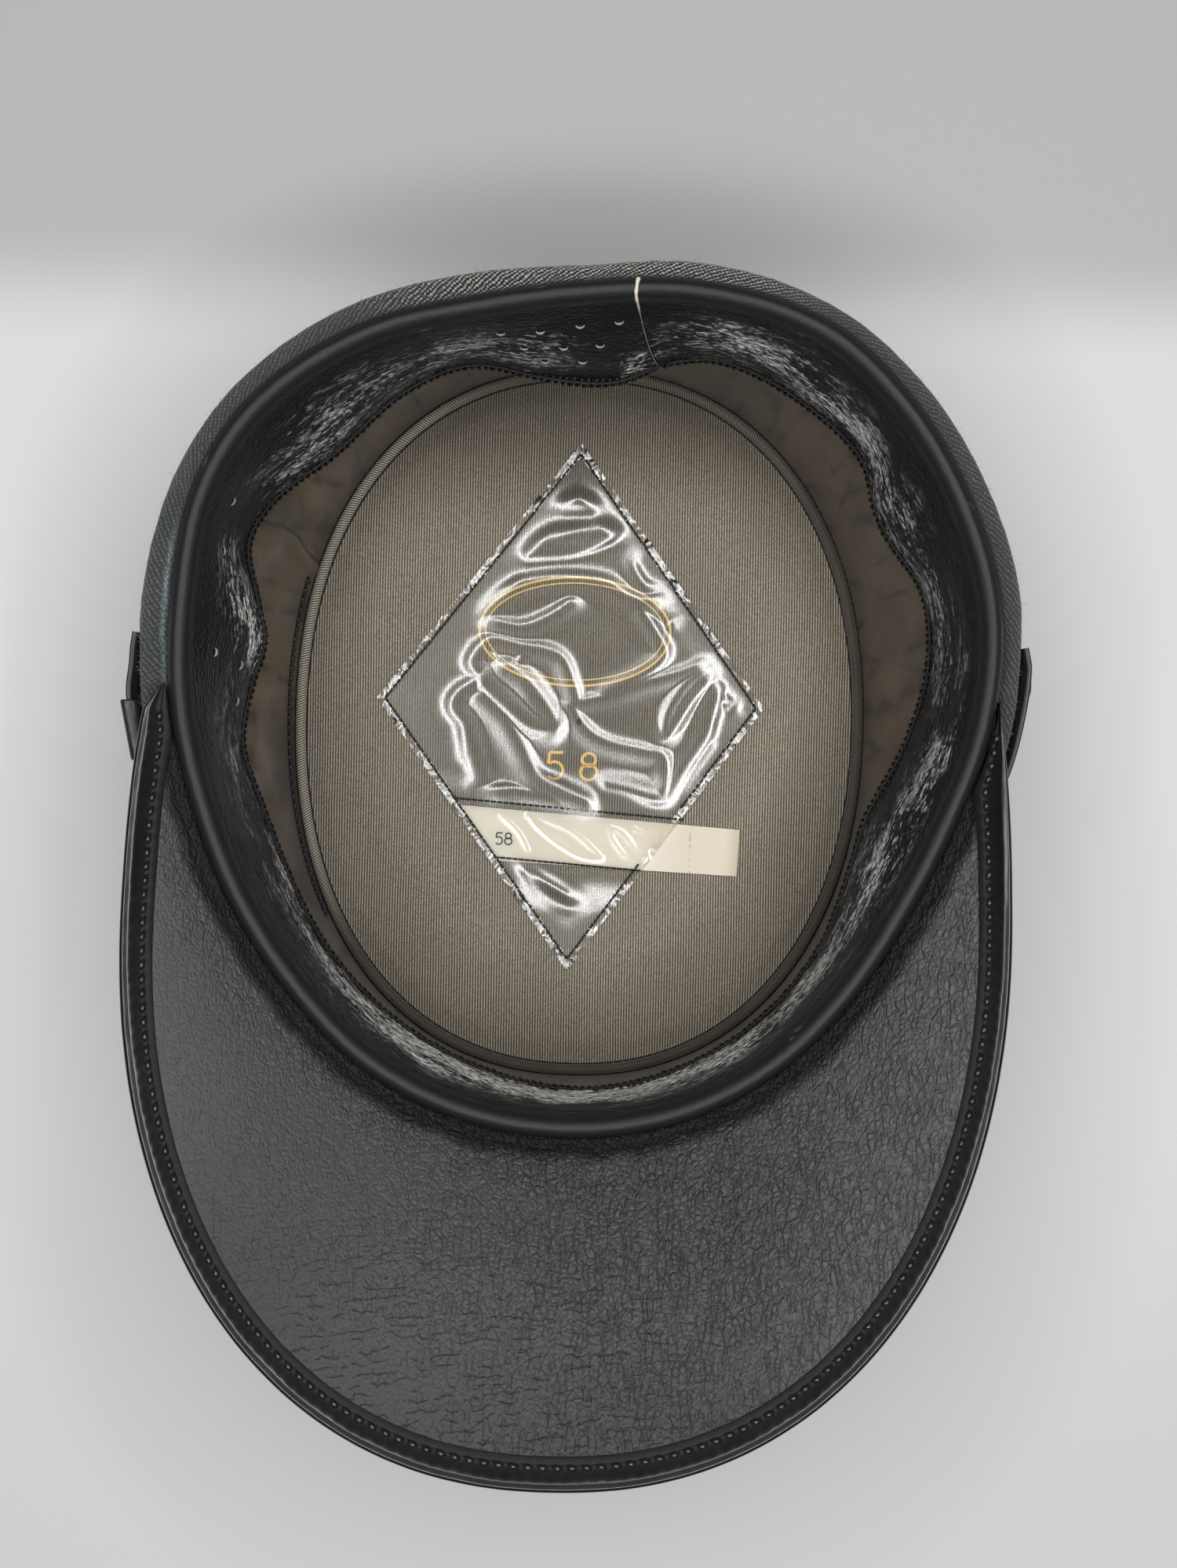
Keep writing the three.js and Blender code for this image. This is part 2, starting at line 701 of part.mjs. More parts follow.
function shieldFoot(x, y) {
  const off = Math.abs(y - CARD_POCKET.y) / CARD_POCKET.halfDepth;
  const pocket = CARD_POCKET.lift * (1 - smooth(off, 0.7, 1.4));
  return crownLiningTop(x, y) + GAP + pocket;
}

// Crown plate with rounded edges

function crownPlate() {
  const outline = [];
  const sides = 48;
  for (let i = 0; i < sides; i += 1) {
    const bearing = (360 * i) / sides;
    const [x, y] = at(bearing, ovalRadius(bearing, WALL_MARGIN - CROWN_ROUND), 0);
    outline.push(new THREE.Vector2(x, y));
  }
  const plate = new THREE.ExtrudeGeometry(new THREE.Shape(outline), {
    depth: CROWN_THICKNESS - 2 * CROWN_ROUND,
    bevelEnabled: true,
    bevelThickness: CROWN_ROUND,
    bevelSize: CROWN_ROUND,
    bevelSegments: 1,
  });
  plate.translate(0, 0, CROWN_ROUND);
  return closed(plate);
}

// Assembly

const kepi = new THREE.Group();
kepi.name = "kepi";

function piece(name, geometry, color, roughness, metalness = 0) {
  const material = new THREE.MeshStandardMaterial({ color, roughness, metalness });
  const mesh = new THREE.Mesh(geometry, material);
  mesh.name = name;
  kepi.add(mesh);
}

const holes = Object.values(STUD_BEARINGS).map(studHole);
const strap = sweep(STRAP_START, STRAP_END, 50, strapSection);

piece("crown_top", crownPlate(), 0x5a5d55, 0.9);
piece("crown_side", cut(sweep(0, 360, 80, wallSection, true), holes), 0x5a5d55, 0.9);
piece("side_lining", sweep(0, 360, 80, liningSection, true), 0x4a3f33, 0.5);
piece("crown_lining", crownLining(), 0x5b5148, 0.7);
piece("lining_piping", piping(), 0x453b31, 0.6);
piece("sweatband", sweatband(), 0x1c1d1f, 0.55);
piece("sweat_shield", sheet(10, 10, shieldPlace, shieldFoot, SHIELD_THICKNESS), 0x8a8378, 0.15);
piece("name_card", sheet(10, 2, cardPlace, cardFoot, CARD_THICKNESS), 0xd8d0b4, 0.8);
piece(
  "visor_shell",
  visorStrip(
    VISOR_START + 6.5,
    VISOR_END - 3.5,
    34,
    (b) => visorInside(b),
    (b) => visorOutside(b) - BINDING_BEAD - GAP,
    SHELL_TOP,
    SHELL_FOOT,
    5,
  ),
  0x0d0d0f,
  0.15,
);
piece(
  "visor_lining",
  visorStrip(
    VISOR_START + 14,
    VISOR_END - 11.5,
    32,
    (b) => visorInside(b),
    (b) => bindingInside(b) - GAP,
    0,
    -VISOR_LINING,
    5,
  ),
  0x47494c,
  0.6,
);
piece("visor_binding", sweep(VISOR_START, VISOR_END, 48, bindingSection), 0x111113, 0.2);
piece("chin_strap", cut(strap, holes), 0x17171a, 0.35);
piece("strap_slider", slider(), 0x17171a, 0.35);
for (const [name, bearing] of Object.entries(STUD_BEARINGS)) {
  piece(name, stud(bearing), 0x2a2a2c, 0.4, 0.6);
}

export default kepi;
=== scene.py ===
"""Kepi lying upside down on its crown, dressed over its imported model.

Shapes are worked out in millimetres from the named sizes below and scaled to metres when a mesh is
made. A bearing is measured in degrees from the back of the cap (+Y), turning towards +X.
"""
import math
from functools import cached_property

import bpy
import numpy as np
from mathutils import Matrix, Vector, noise


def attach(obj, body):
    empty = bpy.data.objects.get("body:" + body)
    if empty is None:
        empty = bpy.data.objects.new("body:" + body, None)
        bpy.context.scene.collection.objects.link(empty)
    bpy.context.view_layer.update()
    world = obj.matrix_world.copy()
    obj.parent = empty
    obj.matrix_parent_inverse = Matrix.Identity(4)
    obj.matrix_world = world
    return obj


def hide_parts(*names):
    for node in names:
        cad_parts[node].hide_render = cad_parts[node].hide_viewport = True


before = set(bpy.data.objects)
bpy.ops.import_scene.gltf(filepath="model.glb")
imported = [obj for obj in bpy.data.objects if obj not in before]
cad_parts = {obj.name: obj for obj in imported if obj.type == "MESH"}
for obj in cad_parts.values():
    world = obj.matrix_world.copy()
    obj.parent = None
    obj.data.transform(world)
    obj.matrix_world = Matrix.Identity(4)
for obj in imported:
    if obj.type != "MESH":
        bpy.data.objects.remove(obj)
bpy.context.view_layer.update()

MM = 0.001
TAU = 2 * math.pi
UP = (0, 0, 1.0)
rng = np.random.default_rng(58)

# Sizes of the cap, in millimetres
GAP = 0.3
RIM_HEIGHT = 90
RIM_TILT = 5
CLOTH_WALL = 3
LINING_WALL = 1
LINING_GAP = 0.5
LINING_HALF_WIDTH = 74.2
LINING_HALF_LENGTH = 92.4
CROWN_OVAL_POWER = 2.2
CROWN_THICKNESS = 3
CROWN_SEAM = 0.6
CROWN_LINING_DOME = 1.4
CROWN_LINING_THICKNESS = 1.6
PIPING_RADIUS = 1.3
LEATHER_WALL = 1.4
SWEATBAND_DEPTH = 36
SWEATBAND_BOW = 1.4
SEAM_TOP_BEARING = 6.7
SEAM_LOW_BEARING = 12
SEAM_GAP = 0.35
VISOR = {"x": -1.3, "y": -42, "half_width": 98.1, "half_length": 123.4}
VISOR_FRONT_POWER = 2.21
VISOR_BACK_POWER = 2.6
VISOR_SKEW = 0.005
VISOR_START = 87.5
VISOR_END = 272.5
VISOR_END_WIDTH = 1.4
VISOR_END_GROWTH = 1.25
VISOR_TIP_HEIGHT = 118
VISOR_SIDE_HEIGHT = 89.2
VISOR_CAMBER = 2.4
VISOR_BELOW_ROLL = 1.5
VISOR_LINING = 1
VISOR_SHELL = 1.5
BINDING_WIDTH = 7
BINDING_PROUD = 0.5
STRAP_THICKNESS = 1.3
STRAP_WIDTH = 14
STRAP_BELOW_RIM = 7
STRAP_START = 80.6
STRAP_END = 279
SLIDER_START = 262.5
SLIDER_END = 270.3
SLIDER_WALL = 1
STUD_BEARINGS = {"right": 85, "left": 275}
STUD_HEAD_RADIUS = 4.5
STUD_HEAD_HEIGHT = 1.4

# Plan radii by bearing: outside of the cloth at the rim, outside of the sweatband's roll
RIM_PLAN = [
    (0, 99.1, 95.3), (15, 103.6, 99.2), (32, 106.8, 103), (45, 106.3, 102), (60, 104.5, 99.8),
    (75, 102.3, 97.5), (90, 98.8, 93.3), (105, 94, 88.9), (120, 92.4, 87.7), (135, 94.4, 89.9),
    (150, 97.8, 93.4), (165, 100.2, 95.7), (180, 100.8, 96.3), (195, 100.4, 95.9), (210, 98.6, 94.1),
    (225, 95.7, 90.9), (240, 94.4, 89.3), (255, 95.4, 89.2), (270, 98.8, 91.3), (285, 101.4, 94.4),
    (300, 104.5, 99.5), (312, 105.5, 100.8), (330, 103.4, 98.2), (345, 100.2, 94.8),
]

# Crests and hollows of the sweatband's lower edge: bearing, plan radius
SWEATBAND_WAVES = [
    (0, 78.4), (6, 79.5), (14, 86.5), (21, 90.3), (35, 91.2), (47, 90.4), (54, 85.8), (60, 84.8),
    (69, 87), (80, 84.5), (92, 79.2), (107, 73.2), (118, 74.8), (132, 80.2), (150, 85.7), (168, 89.2),
    (180, 89.9), (197, 87.6), (222, 83), (240, 79.2), (252, 78.6), (264, 80.4), (274, 78.2),
    (282, 76.8), (289, 81.5), (296, 88.2), (303, 88.6), (316, 84.6), (332, 87), (342, 86.4), (352, 80.5),
]

# Depth of the cloth hem's top below the rim, by bearing
HEM_DROP = [
    (0, 2), (72, 2.2), (84.5, 6.2), (104, 6.2), (112, 4.8), (180, 4.8), (248, 4.8), (256, 6.2),
    (274, 6.2), (288, 2.2), (360, 2),
]

# How far the strap stands off the cloth, by bearing
STRAP_STANDOFF = [
    (80, 0.5), (83.5, 1.4), (91, 1.1), (97, 1.2), (110, 0.5), (180, 0.5), (250, 0.6), (260, 2),
    (271, 2), (276, 1), (280, 0.5),
]

# Soft wrinkles of the side lining: bearing, spread, push into the hollow
LINING_WRINKLES = [
    (62, 5, 0.9), (112, 6, 0.8), (247, 4, 1.3), (258, 3, 0.9), (268, 3, 1.5), (287, 4, 1.2),
    (318, 6, 0.8),
]

# Corners of the plastic diamond from the back to the right and on, and of the card under it from
# the back left to the right and on
SHIELD = [(-1, 73), (48.4, 4.6), (-1.8, -65.2), (-53.1, 5.2)]
CARD = [(-31, -22.4), (42.6, -27.3), (42.1, -39.5), (-20.4, -36.8)]
CARD_THICKNESS = 0.5
CARD_POCKET = {"y": -31, "half_depth": 14}


def lerp(a, b, share):
    return a + (b - a) * share


def smooth(x, low, high):
    share = np.clip((x - low) / (high - low), 0, 1)
    return share * share * (3 - 2 * share)


def between(x, low, full, fading, gone):
    """Rises from 0 at low to 1 at full, and falls from 1 at fading to 0 at gone."""
    return smooth(x, low, full) * (1 - smooth(x, fading, gone))


def hump(x, middle, width):
    return np.exp(-(((x - middle) / width) ** 2))


def unit(v):
    return v / np.maximum(np.linalg.norm(v, axis=-1, keepdims=True), 1e-9)


def walk(points):
    """Length walked along a line of points, up to each of them."""
    return np.concatenate([[0], np.cumsum(np.linalg.norm(np.diff(points, axis=0), axis=1))])


def slope(points, axis, closed):
    """Direction along one axis of a grid of points."""
    if closed:
        return np.roll(points, -1, axis) - np.roll(points, 1, axis)
    return np.gradient(points, axis=axis)


def turn_of(count):
    """Bearings once round the cap, one to a row."""
    return np.linspace(0, 360, count, endpoint=False)[:, None]


def raised(plan, z):
    return np.concatenate([plan, z[..., None]], -1)


def around(rows, column):
    """A smooth closed curve through one column of rows that start with a bearing."""
    spots = np.array([row[0] for row in rows], float)
    levels = np.array([row[column] for row in rows], float)
    spots = np.concatenate([spots[-2:] - 360, spots, spots[:3] + 360])
    levels = np.concatenate([levels[-2:], levels, levels[:3]])
    slopes = np.zeros(len(spots))
    slopes[1:-1] = (levels[2:] - levels[:-2]) / (spots[2:] - spots[:-2])

    def curve(bearing):
        angle = np.mod(bearing, 360)
        i = np.clip(np.searchsorted(spots, angle, side="right") - 1, 1, len(spots) - 3)
        span = spots[i + 1] - spots[i]
        t = (angle - spots[i]) / span
        bend = slopes[i] * t * (1 - t) ** 2 - slopes[i + 1] * t**2 * (1 - t)
        return lerp(levels[i], levels[i + 1], t * t * (3 - 2 * t)) + span * bend

    return curve


def along(rows):
    """Straight runs between rows of bearing and value, eased at each row."""
    spots = np.array([row[0] for row in rows], float)
    levels = np.array([row[1] for row in rows], float)

    def curve(bearing):
        i = np.clip(np.searchsorted(spots, bearing, side="right") - 1, 0, len(spots) - 2)
        return lerp(levels[i], levels[i + 1], smooth(bearing, spots[i], spots[i + 1]))

    return curve


cloth_radius = around(RIM_PLAN, 1)
roll_radius = around(RIM_PLAN, 2)
wave_radius = around(SWEATBAND_WAVES, 1)
hem_drop = along(HEM_DROP)
standoff = along(STRAP_STANDOFF)


def cos_of(bearing):
    return np.cos(np.radians(bearing))


def sin_of(bearing):
    return np.sin(np.radians(bearing))


def rim_height(bearing):
    return RIM_HEIGHT + RIM_TILT * cos_of(bearing)


def hem_top(bearing):
    return rim_height(bearing) - hem_drop(np.mod(bearing, 360))


def at(bearing, radius, z):
    """Points at bearings, plan radii and heights, which may be arrays."""
    bearing, radius, z = np.broadcast_arrays(bearing, radius, z)
    return np.stack([radius * sin_of(bearing), radius * cos_of(bearing), z], -1)


def oval_share(x, y, margin=0):
    """Below 1 inside the crown's oval, and 1 on its edge."""
    across = np.abs(x) / (LINING_HALF_WIDTH + margin)
    length = np.abs(y) / (LINING_HALF_LENGTH + margin)
    return across**CROWN_OVAL_POWER + length**CROWN_OVAL_POWER


def oval_radius(bearing, margin=0):
    return oval_share(sin_of(bearing), cos_of(bearing), margin) ** (-1 / CROWN_OVAL_POWER)


WALL_MARGIN = LINING_WALL + GAP + CLOTH_WALL + CROWN_SEAM
WALL_FOOT = CROWN_THICKNESS + GAP
HEM_ROUND = 3


def outside_radius(bearing, z):
    share = np.minimum(1, (z - WALL_FOOT) / (hem_top(bearing) - HEM_ROUND - WALL_FOOT))
    return lerp(oval_radius(bearing, WALL_MARGIN), cloth_radius(bearing), share)


def inside_radius(bearing, z):
    return outside_radius(bearing, z) - CLOTH_WALL


# Mesh tools


def signed_volume(points, quads):
    a, b, c, d = (points[quads[:, k]] for k in range(4))
    one = np.einsum("ij,ij->i", a, np.cross(b, c))
    two = np.einsum("ij,ij->i", a, np.cross(c, d))
    return (one + two).sum()


def build(name, points, quads, maps=None, caps=(), masks=None, sharp=50):
    """A smooth shaded mesh from points in millimetres. maps holds each quad's corners in the map,
    in metres, and masks holds one number for each point."""
    if signed_volume(points, quads) < 0:
        quads = quads[:, ::-1]
        maps = None if maps is None else maps[:, ::-1]
        caps = [cap[::-1] for cap in caps]
    mesh = bpy.data.meshes.new(name)
    faces = quads.tolist() + [list(map(int, cap)) for cap in caps]
    mesh.from_pydata((points * MM).tolist(), [], faces)
    layer = mesh.uv_layers.new(name="Strip")
    corners = np.zeros((len(mesh.loops), 2))
    if maps is not None:
        corners[: maps.shape[0] * 4] = maps.reshape(-1, 2)
    layer.data.foreach_set("uv", corners.ravel())
    for mask, values in (masks or {}).items():
        mesh.attributes.new(mask, "FLOAT", "POINT").data.foreach_set("value", np.ravel(values))
    mesh.shade_smooth()
    mesh.set_sharp_from_angle(angle=math.radians(sharp))
    mesh.validate()
    return mesh


def lengths(points, axis, closed):
    """Length walked along one axis of a grid of points, as the mean over the other."""
    ahead = np.roll(points, -1, axis)
    steps = np.linalg.norm(ahead - points, axis=-1).mean(1 - axis)
    walked = np.concatenate([[0], np.cumsum(steps)])
    return walked if closed else walked[:-1]


def grid_quads(runs, places, ring, loop=True):
    i = np.arange(runs if ring else runs - 1)[:, None]
    j = np.arange(places if loop else places - 1)[None, :]
    after = (i + 1) % runs
    beside = (j + 1) % places
    corners = [i * places + j, after * places + j, after * places + beside, i * places + beside]
    return np.stack(corners, -1).reshape(-1, 4)


def strip_map(u, v):
    """Map corners of a grid's quads, whose points lie at u along it and at v across it."""
    i = np.arange(len(u) - 1)[:, None]
    j = np.arange(len(v) - 1)[None, :]
    pairs = [(i, j), (i + 1, j), (i + 1, j + 1), (i, j + 1)]
    corners = [np.stack(np.broadcast_arrays(u[a], v[b]), -1) for a, b in pairs]
    return np.stack(corners, 2).reshape(-1, 4, 2)


def copies(count, runs, places, ring):
    """Quads of a number of grids of looped runs, and the flat ends of those that aren't rings."""
    starts = np.arange(count) * runs * places
    quads = (grid_quads(runs, places, ring)[None] + starts[:, None, None]).reshape(-1, 4)
    first = np.arange(places)
    last = first[::-1] + (runs - 1) * places
    return quads, [] if ring else [cap + start for start in starts for cap in (first, last)]


def grid(name, points, ring=False, masks=None, sharp=50):
    """A mesh over points[run][place], whose runs are loops. ring joins the last run to the first,
    and runs that aren't joined get flat ends."""
    runs, places = points.shape[:2]
    maps = strip_map(lengths(points, 0, ring) * MM, lengths(points, 1, True) * MM)
    quads, caps = copies(1, runs, places, ring)
    masks = {key: np.broadcast_to(value, (runs, places)) for key, value in (masks or {}).items()}
    return build(name, points.reshape(-1, 3), quads, maps, caps, masks, sharp)


def sheet_grid(name, top, foot, masks=None):
    """A closed sheet from grids of its top and foot points, joined round the edge."""
    runs, places = top.shape[:2]
    points = np.concatenate([top.reshape(-1, 3), foot.reshape(-1, 3)])
    size = runs * places
    face = grid_quads(runs, places, False, False)
    index = np.arange(size).reshape(runs, places)
    rim = np.concatenate([index[0], index[1:, -1], index[-1, -2::-1], index[-2:0:-1, 0]])
    after = np.roll(rim, -1)
    walls = np.stack([after, rim, rim + size, after + size], -1)
    quads = np.concatenate([face, face[:, ::-1] + size, walls])
    masks = {key: np.tile(np.ravel(value), 2) for key, value in (masks or {}).items()}
    return build(name, points, quads, points[quads][:, :, :2] * MM, (), masks)


def normals(points, ring=False):
    """Unit normals of a grid of looped runs, facing out of the solid that it wraps."""
    quads = grid_quads(*points.shape[:2], ring)
    out = unit(np.cross(slope(points, 0, ring), slope(points, 1, True)))
    return out * np.sign(signed_volume(points.reshape(-1, 3), quads))


def bumps(points, size, seed=0):
    """Smooth random heights from about -1 to 1, with waves about size millimetres long."""
    places = points.reshape(-1, 3) / np.array(size, float) + seed * 17.31
    heights = np.fromiter((noise.noise(place) for place in places), float, len(places))
    return heights.reshape(points.shape[:-1])


def spline(rows, steps, loop=True):
    """A smooth curve through rows, with steps[i] points from row i on to the next."""
    rows = np.array(rows, float)
    count = len(rows)
    pieces = []
    for i, step in enumerate(steps):
        spots = [i - 1, i, i + 1, i + 2]
        picks = [k % count if loop else min(max(k, 0), count - 1) for k in spots]
        p0, p1, p2, p3 = rows[picks]
        t = (np.arange(step) / step)[:, None]
        cubic = 3 * p1 - p0 - 3 * p2 + p3
        square = 2 * p0 - 5 * p1 + 4 * p2 - p3
        pieces.append(0.5 * (2 * p1 + (p2 - p0) * t + square * t**2 + cubic * t**3))
    if not loop:
        pieces.append(rows[-1:])
    return np.concatenate(pieces)


def spokes(side, up, sides):
    """Directions round an axis, from side towards up and on."""
    turn = TAU * np.arange(sides) / sides
    return side[..., None, :] * np.cos(turn)[:, None] + up[..., None, :] * np.sin(turn)[:, None]


def tubes(name, paths, across, radius, sides=6, closed=False, masks=None):
    """Round threads along paths[thread][step]. across is a direction that is never along them, and
    masks hold a number for each step."""
    paths = np.asarray(paths, float)
    count, steps = paths.shape[:2]
    ahead = slope(paths, 1, closed)
    side = unit(np.cross(ahead, np.broadcast_to(across, paths.shape)))
    up = unit(np.cross(side, ahead))
    radius = np.broadcast_to(radius, (count, steps))[:, :, None, None]
    points = (paths[:, :, None] + radius * spokes(side, up, sides)).reshape(-1, 3)
    quads, caps = copies(count, steps, sides, closed)
    gaps = np.linalg.norm(np.diff(paths, axis=1), axis=-1).mean(0)
    walked = np.concatenate([[0], np.cumsum(gaps), [gaps.sum() * steps / (steps - 1)]]) * MM
    girth = TAU * float(radius.mean()) * MM / sides
    maps = strip_map(walked if closed else walked[:-1], np.arange(sides + 1) * girth)
    masks = {key: np.tile(np.repeat(value, sides), count) for key, value in (masks or {}).items()}
    return build(name, points, quads, np.tile(maps, (count, 1, 1)), caps, masks, 80)


def turned(name, places, outs, profile, sides=20):
    """Copies of a turned shape. profile gives radius and height, and outs are the axes."""
    outs = unit(np.atleast_2d(outs))
    helper = np.where(np.abs(outs[:, 2:]) < 0.9, [[0, 0, 1.0]], [[1.0, 0, 0]])
    side = unit(np.cross(helper, outs))
    up = np.cross(outs, side)
    profile = np.array(profile, float)[..., None, None]
    wide = profile[:, 0] * spokes(side, up, sides)[:, None]
    tall = profile[:, 1] * outs[:, None, None]
    points = (np.atleast_2d(places)[:, None, None] + wide + tall).reshape(-1, 3)
    quads, caps = copies(len(outs), len(profile), sides, False)
    return build(name, points, quads, None, caps, None, 40)


def add(name, data):
    obj = bpy.data.objects.new(name, data)
    bpy.context.scene.collection.objects.link(obj)
    return obj


def piece(mesh, finish, slot, *stands_for):
    """Puts a mesh into the scene as a piece of its own name that rides on the cap."""
    mesh.materials.append(finish)
    obj = add(mesh.name, mesh)
    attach(obj, "root")
    if stands_for:
        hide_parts(*stands_for)
    return obj


def spread(curve, low, high, pitch):
    """Bearings from low to high at equal steps of about pitch along curve(bearings)."""
    fine = np.linspace(low, high, 2000)
    walked = walk(curve(fine))
    count = int(round(walked[-1] / pitch))
    return np.interp(np.linspace(0, walked[-1], count + 1), walked, fine)


# Materials


class Wire:
    """A value that runs between the nodes of a finish. Sums and products make Math nodes."""

    def __init__(self, finish, socket):
        self.finish = finish
        self.socket = socket

    def __add__(self, other):
        return self.finish.math("ADD", self, other)

    def __sub__(self, other):
        return self.finish.math("SUBTRACT", self, other)

    def __rsub__(self, other):
        return self.finish.math("SUBTRACT", other, self)

    def __mul__(self, other):
        return self.finish.math("MULTIPLY", self, other)


class Finish:
    """A material built from nodes. A node's inputs take wires or plain values, and a grey is one
    number."""

    def __init__(self, name, **plain):
        self.material = bpy.data.materials.new(name)
        self.material.use_nodes = True
        self.tree = self.material.node_tree
        self.shader = self.tree.nodes["Principled BSDF"]
        self.shade(**plain)

    def put(self, socket, value):
        if isinstance(value, Wire):
            self.tree.links.new(value.socket, socket)
        elif socket.type == "RGBA":
            socket.default_value = (*np.broadcast_to(value, 3), 1)
        else:
            socket.default_value = value

    def shade(self, **inputs):
        for key, value in inputs.items():
            self.put(self.shader.inputs[key.replace("_", " ")], value)
        return self.material

    def node(self, kind, inputs, output=0, **settings):
        made = self.tree.nodes.new("ShaderNode" + kind)
        for key, value in settings.items():
            setattr(made, key, value)
        for key, value in inputs.items():
            self.put(made.inputs[key], value)
        return Wire(self, made.outputs[output])

    @cached_property
    def strip(self):
        """Place on the mesh's own map, in metres along and across it."""
        return self.node("UVMap", {}, uv_map="Strip")

    @cached_property
    def place(self):
        """Place on the cap, in metres."""
        return self.node("TexCoord", {}, "Object")

    def axis(self, name):
        return self.node("SeparateXYZ", {0: self.place}, name)

    def mask(self, name):
        return self.node("Attribute", {}, "Fac", attribute_name=name)

    def math(self, operation, a, b=0.0):
        return self.node("Math", {0: a, 1: b}, operation=operation)

    def vector(self, operation, a, b, output="Vector"):
        return self.node("VectorMath", {0: a, 1: b}, output, operation=operation)

    def scaled(self, vector, x, y, z=1.0):
        return self.vector("MULTIPLY", vector, (x, y, z))

    def shifted(self, vector, x, y=0.0):
        return self.vector("ADD", vector, self.node("CombineXYZ", {0: x, 1: y}))

    def noise(self, vector, scale, detail=3.0, roughness=0.5, distortion=0.0):
        names = ("Vector", "Scale", "Detail", "Roughness", "Distortion")
        return self.node("TexNoise", dict(zip(names, (vector, scale, detail, roughness, distortion))))

    def cells(self, vector, scale, feature="F1"):
        return self.node("TexVoronoi", {"Vector": vector, "Scale": scale}, "Distance", feature=feature)

    def stripes(self, vector, pitch, angle):
        """Waves from -1 to 1 across a direction of the map, pitch millimetres apart."""
        turn = TAU / (pitch * MM)
        way = (turn * math.cos(math.radians(angle)), turn * math.sin(math.radians(angle)), 0.0)
        return self.math("SINE", self.vector("DOT_PRODUCT", vector, way, "Value"))

    def range(self, value, low, high, to_low=0.0, to_high=1.0):
        names = ("Value", "From Min", "From Max", "To Min", "To Max")
        inputs = dict(zip(names, (value, low, high, to_low, to_high)))
        return self.node("MapRange", inputs, interpolation_type="SMOOTHSTEP")

    def mix(self, share, a, b, blend="MIX"):
        return self.node("Mix", {0: share, 6: a, 7: b}, 2, data_type="RGBA", blend_type=blend)

    def over(self, colour, *layers):
        """A colour under layers, each given by its share and its own colour."""
        for share, layer in layers:
            colour = self.mix(share, colour, layer)
        return colour

    def bump(self, height, distance, below=None):
        inputs = {"Height": height, "Distance": distance * MM, "Strength": 1.0}
        if below is not None:
            inputs["Normal"] = below
        return self.node("Bump", inputs)


def twill_cloth():
    f = Finish("TwillCloth", Roughness=0.9, Sheen_Weight=0.2, Sheen_Roughness=0.5)
    wobble = f.noise(f.strip, 420) * 0.001
    bent = f.shifted(f.strip, wobble, wobble)
    height = f.range(f.stripes(bent, 0.75, -38) * 0.55 + f.stripes(bent, 0.9, 58), -0.6, 1.0)
    patches = f.noise(f.strip, 70, 4, 0.6)
    specks = f.noise(f.strip, 1700, 2, 0.6)
    dark = f.mix(patches, (0.015, 0.019, 0.02), (0.03, 0.032, 0.028))
    plain = f.mix(patches, (0.047, 0.058, 0.06), (0.108, 0.112, 0.096))
    dark = f.mix(f.mask("faded"), dark, (0.007, 0.01, 0.011))
    light = f.mix(f.mask("faded"), plain, (0.37, 0.38, 0.335))
    share = height * f.range(specks, 0.34, 0.64, 0.12, 1.0)
    crease = f.mask("crease") * f.range(specks, 0.35, 0.65, 0.2, 0.9)
    return f.shade(
        Base_Color=f.mix(crease, f.mix(share, dark, light), (0.2, 0.24, 0.27)),
        Normal=f.bump(specks, 0.08, f.bump(height, 0.2)),
    )


def worn_leather():
    """Black sweatband leather with a polished roll, rubbed to grey flecks where it is worn."""
    f = Finish("SweatbandLeather", Specular_IOR_Level=0.24, Coat_Roughness=0.58)
    wear = f.mask("wear")
    polish = f.mask("polish")

    def drawn(share):
        """The map with what lies on it drawn out along the band."""
        return f.scaled(f.strip, share, 1.0)

    clouds = f.noise(drawn(0.45), 130, 4, 0.6)
    streaks = f.noise(drawn(0.35), 560, 4, 0.65, 0.4)
    grit = f.noise(drawn(0.42), 1250, 4, 0.72)
    tone = f.range(f.noise(drawn(0.6), 900, 2), 0.35, 0.65)
    middle = f.cells(drawn(0.62), 1150)
    amount = clouds * 3.0 - 3.15 + streaks * 2.8 + wear * 0.54
    flecks = f.range(amount + f.range(grit, 0.34, 0.66), 0.84, 1.08) * f.range(wear, 0.1, 0.4)
    tops = f.range(middle, 0.12, 0.5, 1.0, 0.0) * f.range(amount, -0.3, 0.7, 0.0, 0.5)
    under = f.mix(f.range(amount, 0.35, 1.15), (0.0045, 0.0045, 0.0055), (0.1, 0.1, 0.098))
    under = f.mix(tops * f.range(wear, 0.1, 0.5), under, (0.13, 0.13, 0.135))
    pebble = f.mix(tone, (0.045, 0.047, 0.052), (0.18, 0.185, 0.2))
    chalk = f.mix(tone, 0.13, (0.86, 0.85, 0.81))
    rough = 1.0 - polish * 0.72
    creases = f.bump(streaks * rough, 0.3, f.bump(f.noise(f.strip, 2600, 2), 0.02))
    return f.shade(
        Base_Color=f.mix(flecks, under, f.mix(f.range(wear, 0.45, 1.6), pebble, chalk)),
        Roughness=0.56 - polish * 0.1,
        Coat_Weight=polish,
        Normal=f.bump((1.0 - middle) * rough, 0.3, creases),
    )


def plain_thread(name, colour, roughness=0.5):
    """Twisted thread, darker between its turns."""
    f = Finish(name, Roughness=roughness)
    height = f.range(f.stripes(f.strip, 0.7, 40), -1, 1)
    deep = tuple(c * 0.45 for c in colour)
    return f.shade(Base_Color=f.mix(height, deep, colour), Normal=f.bump(height, 0.12))


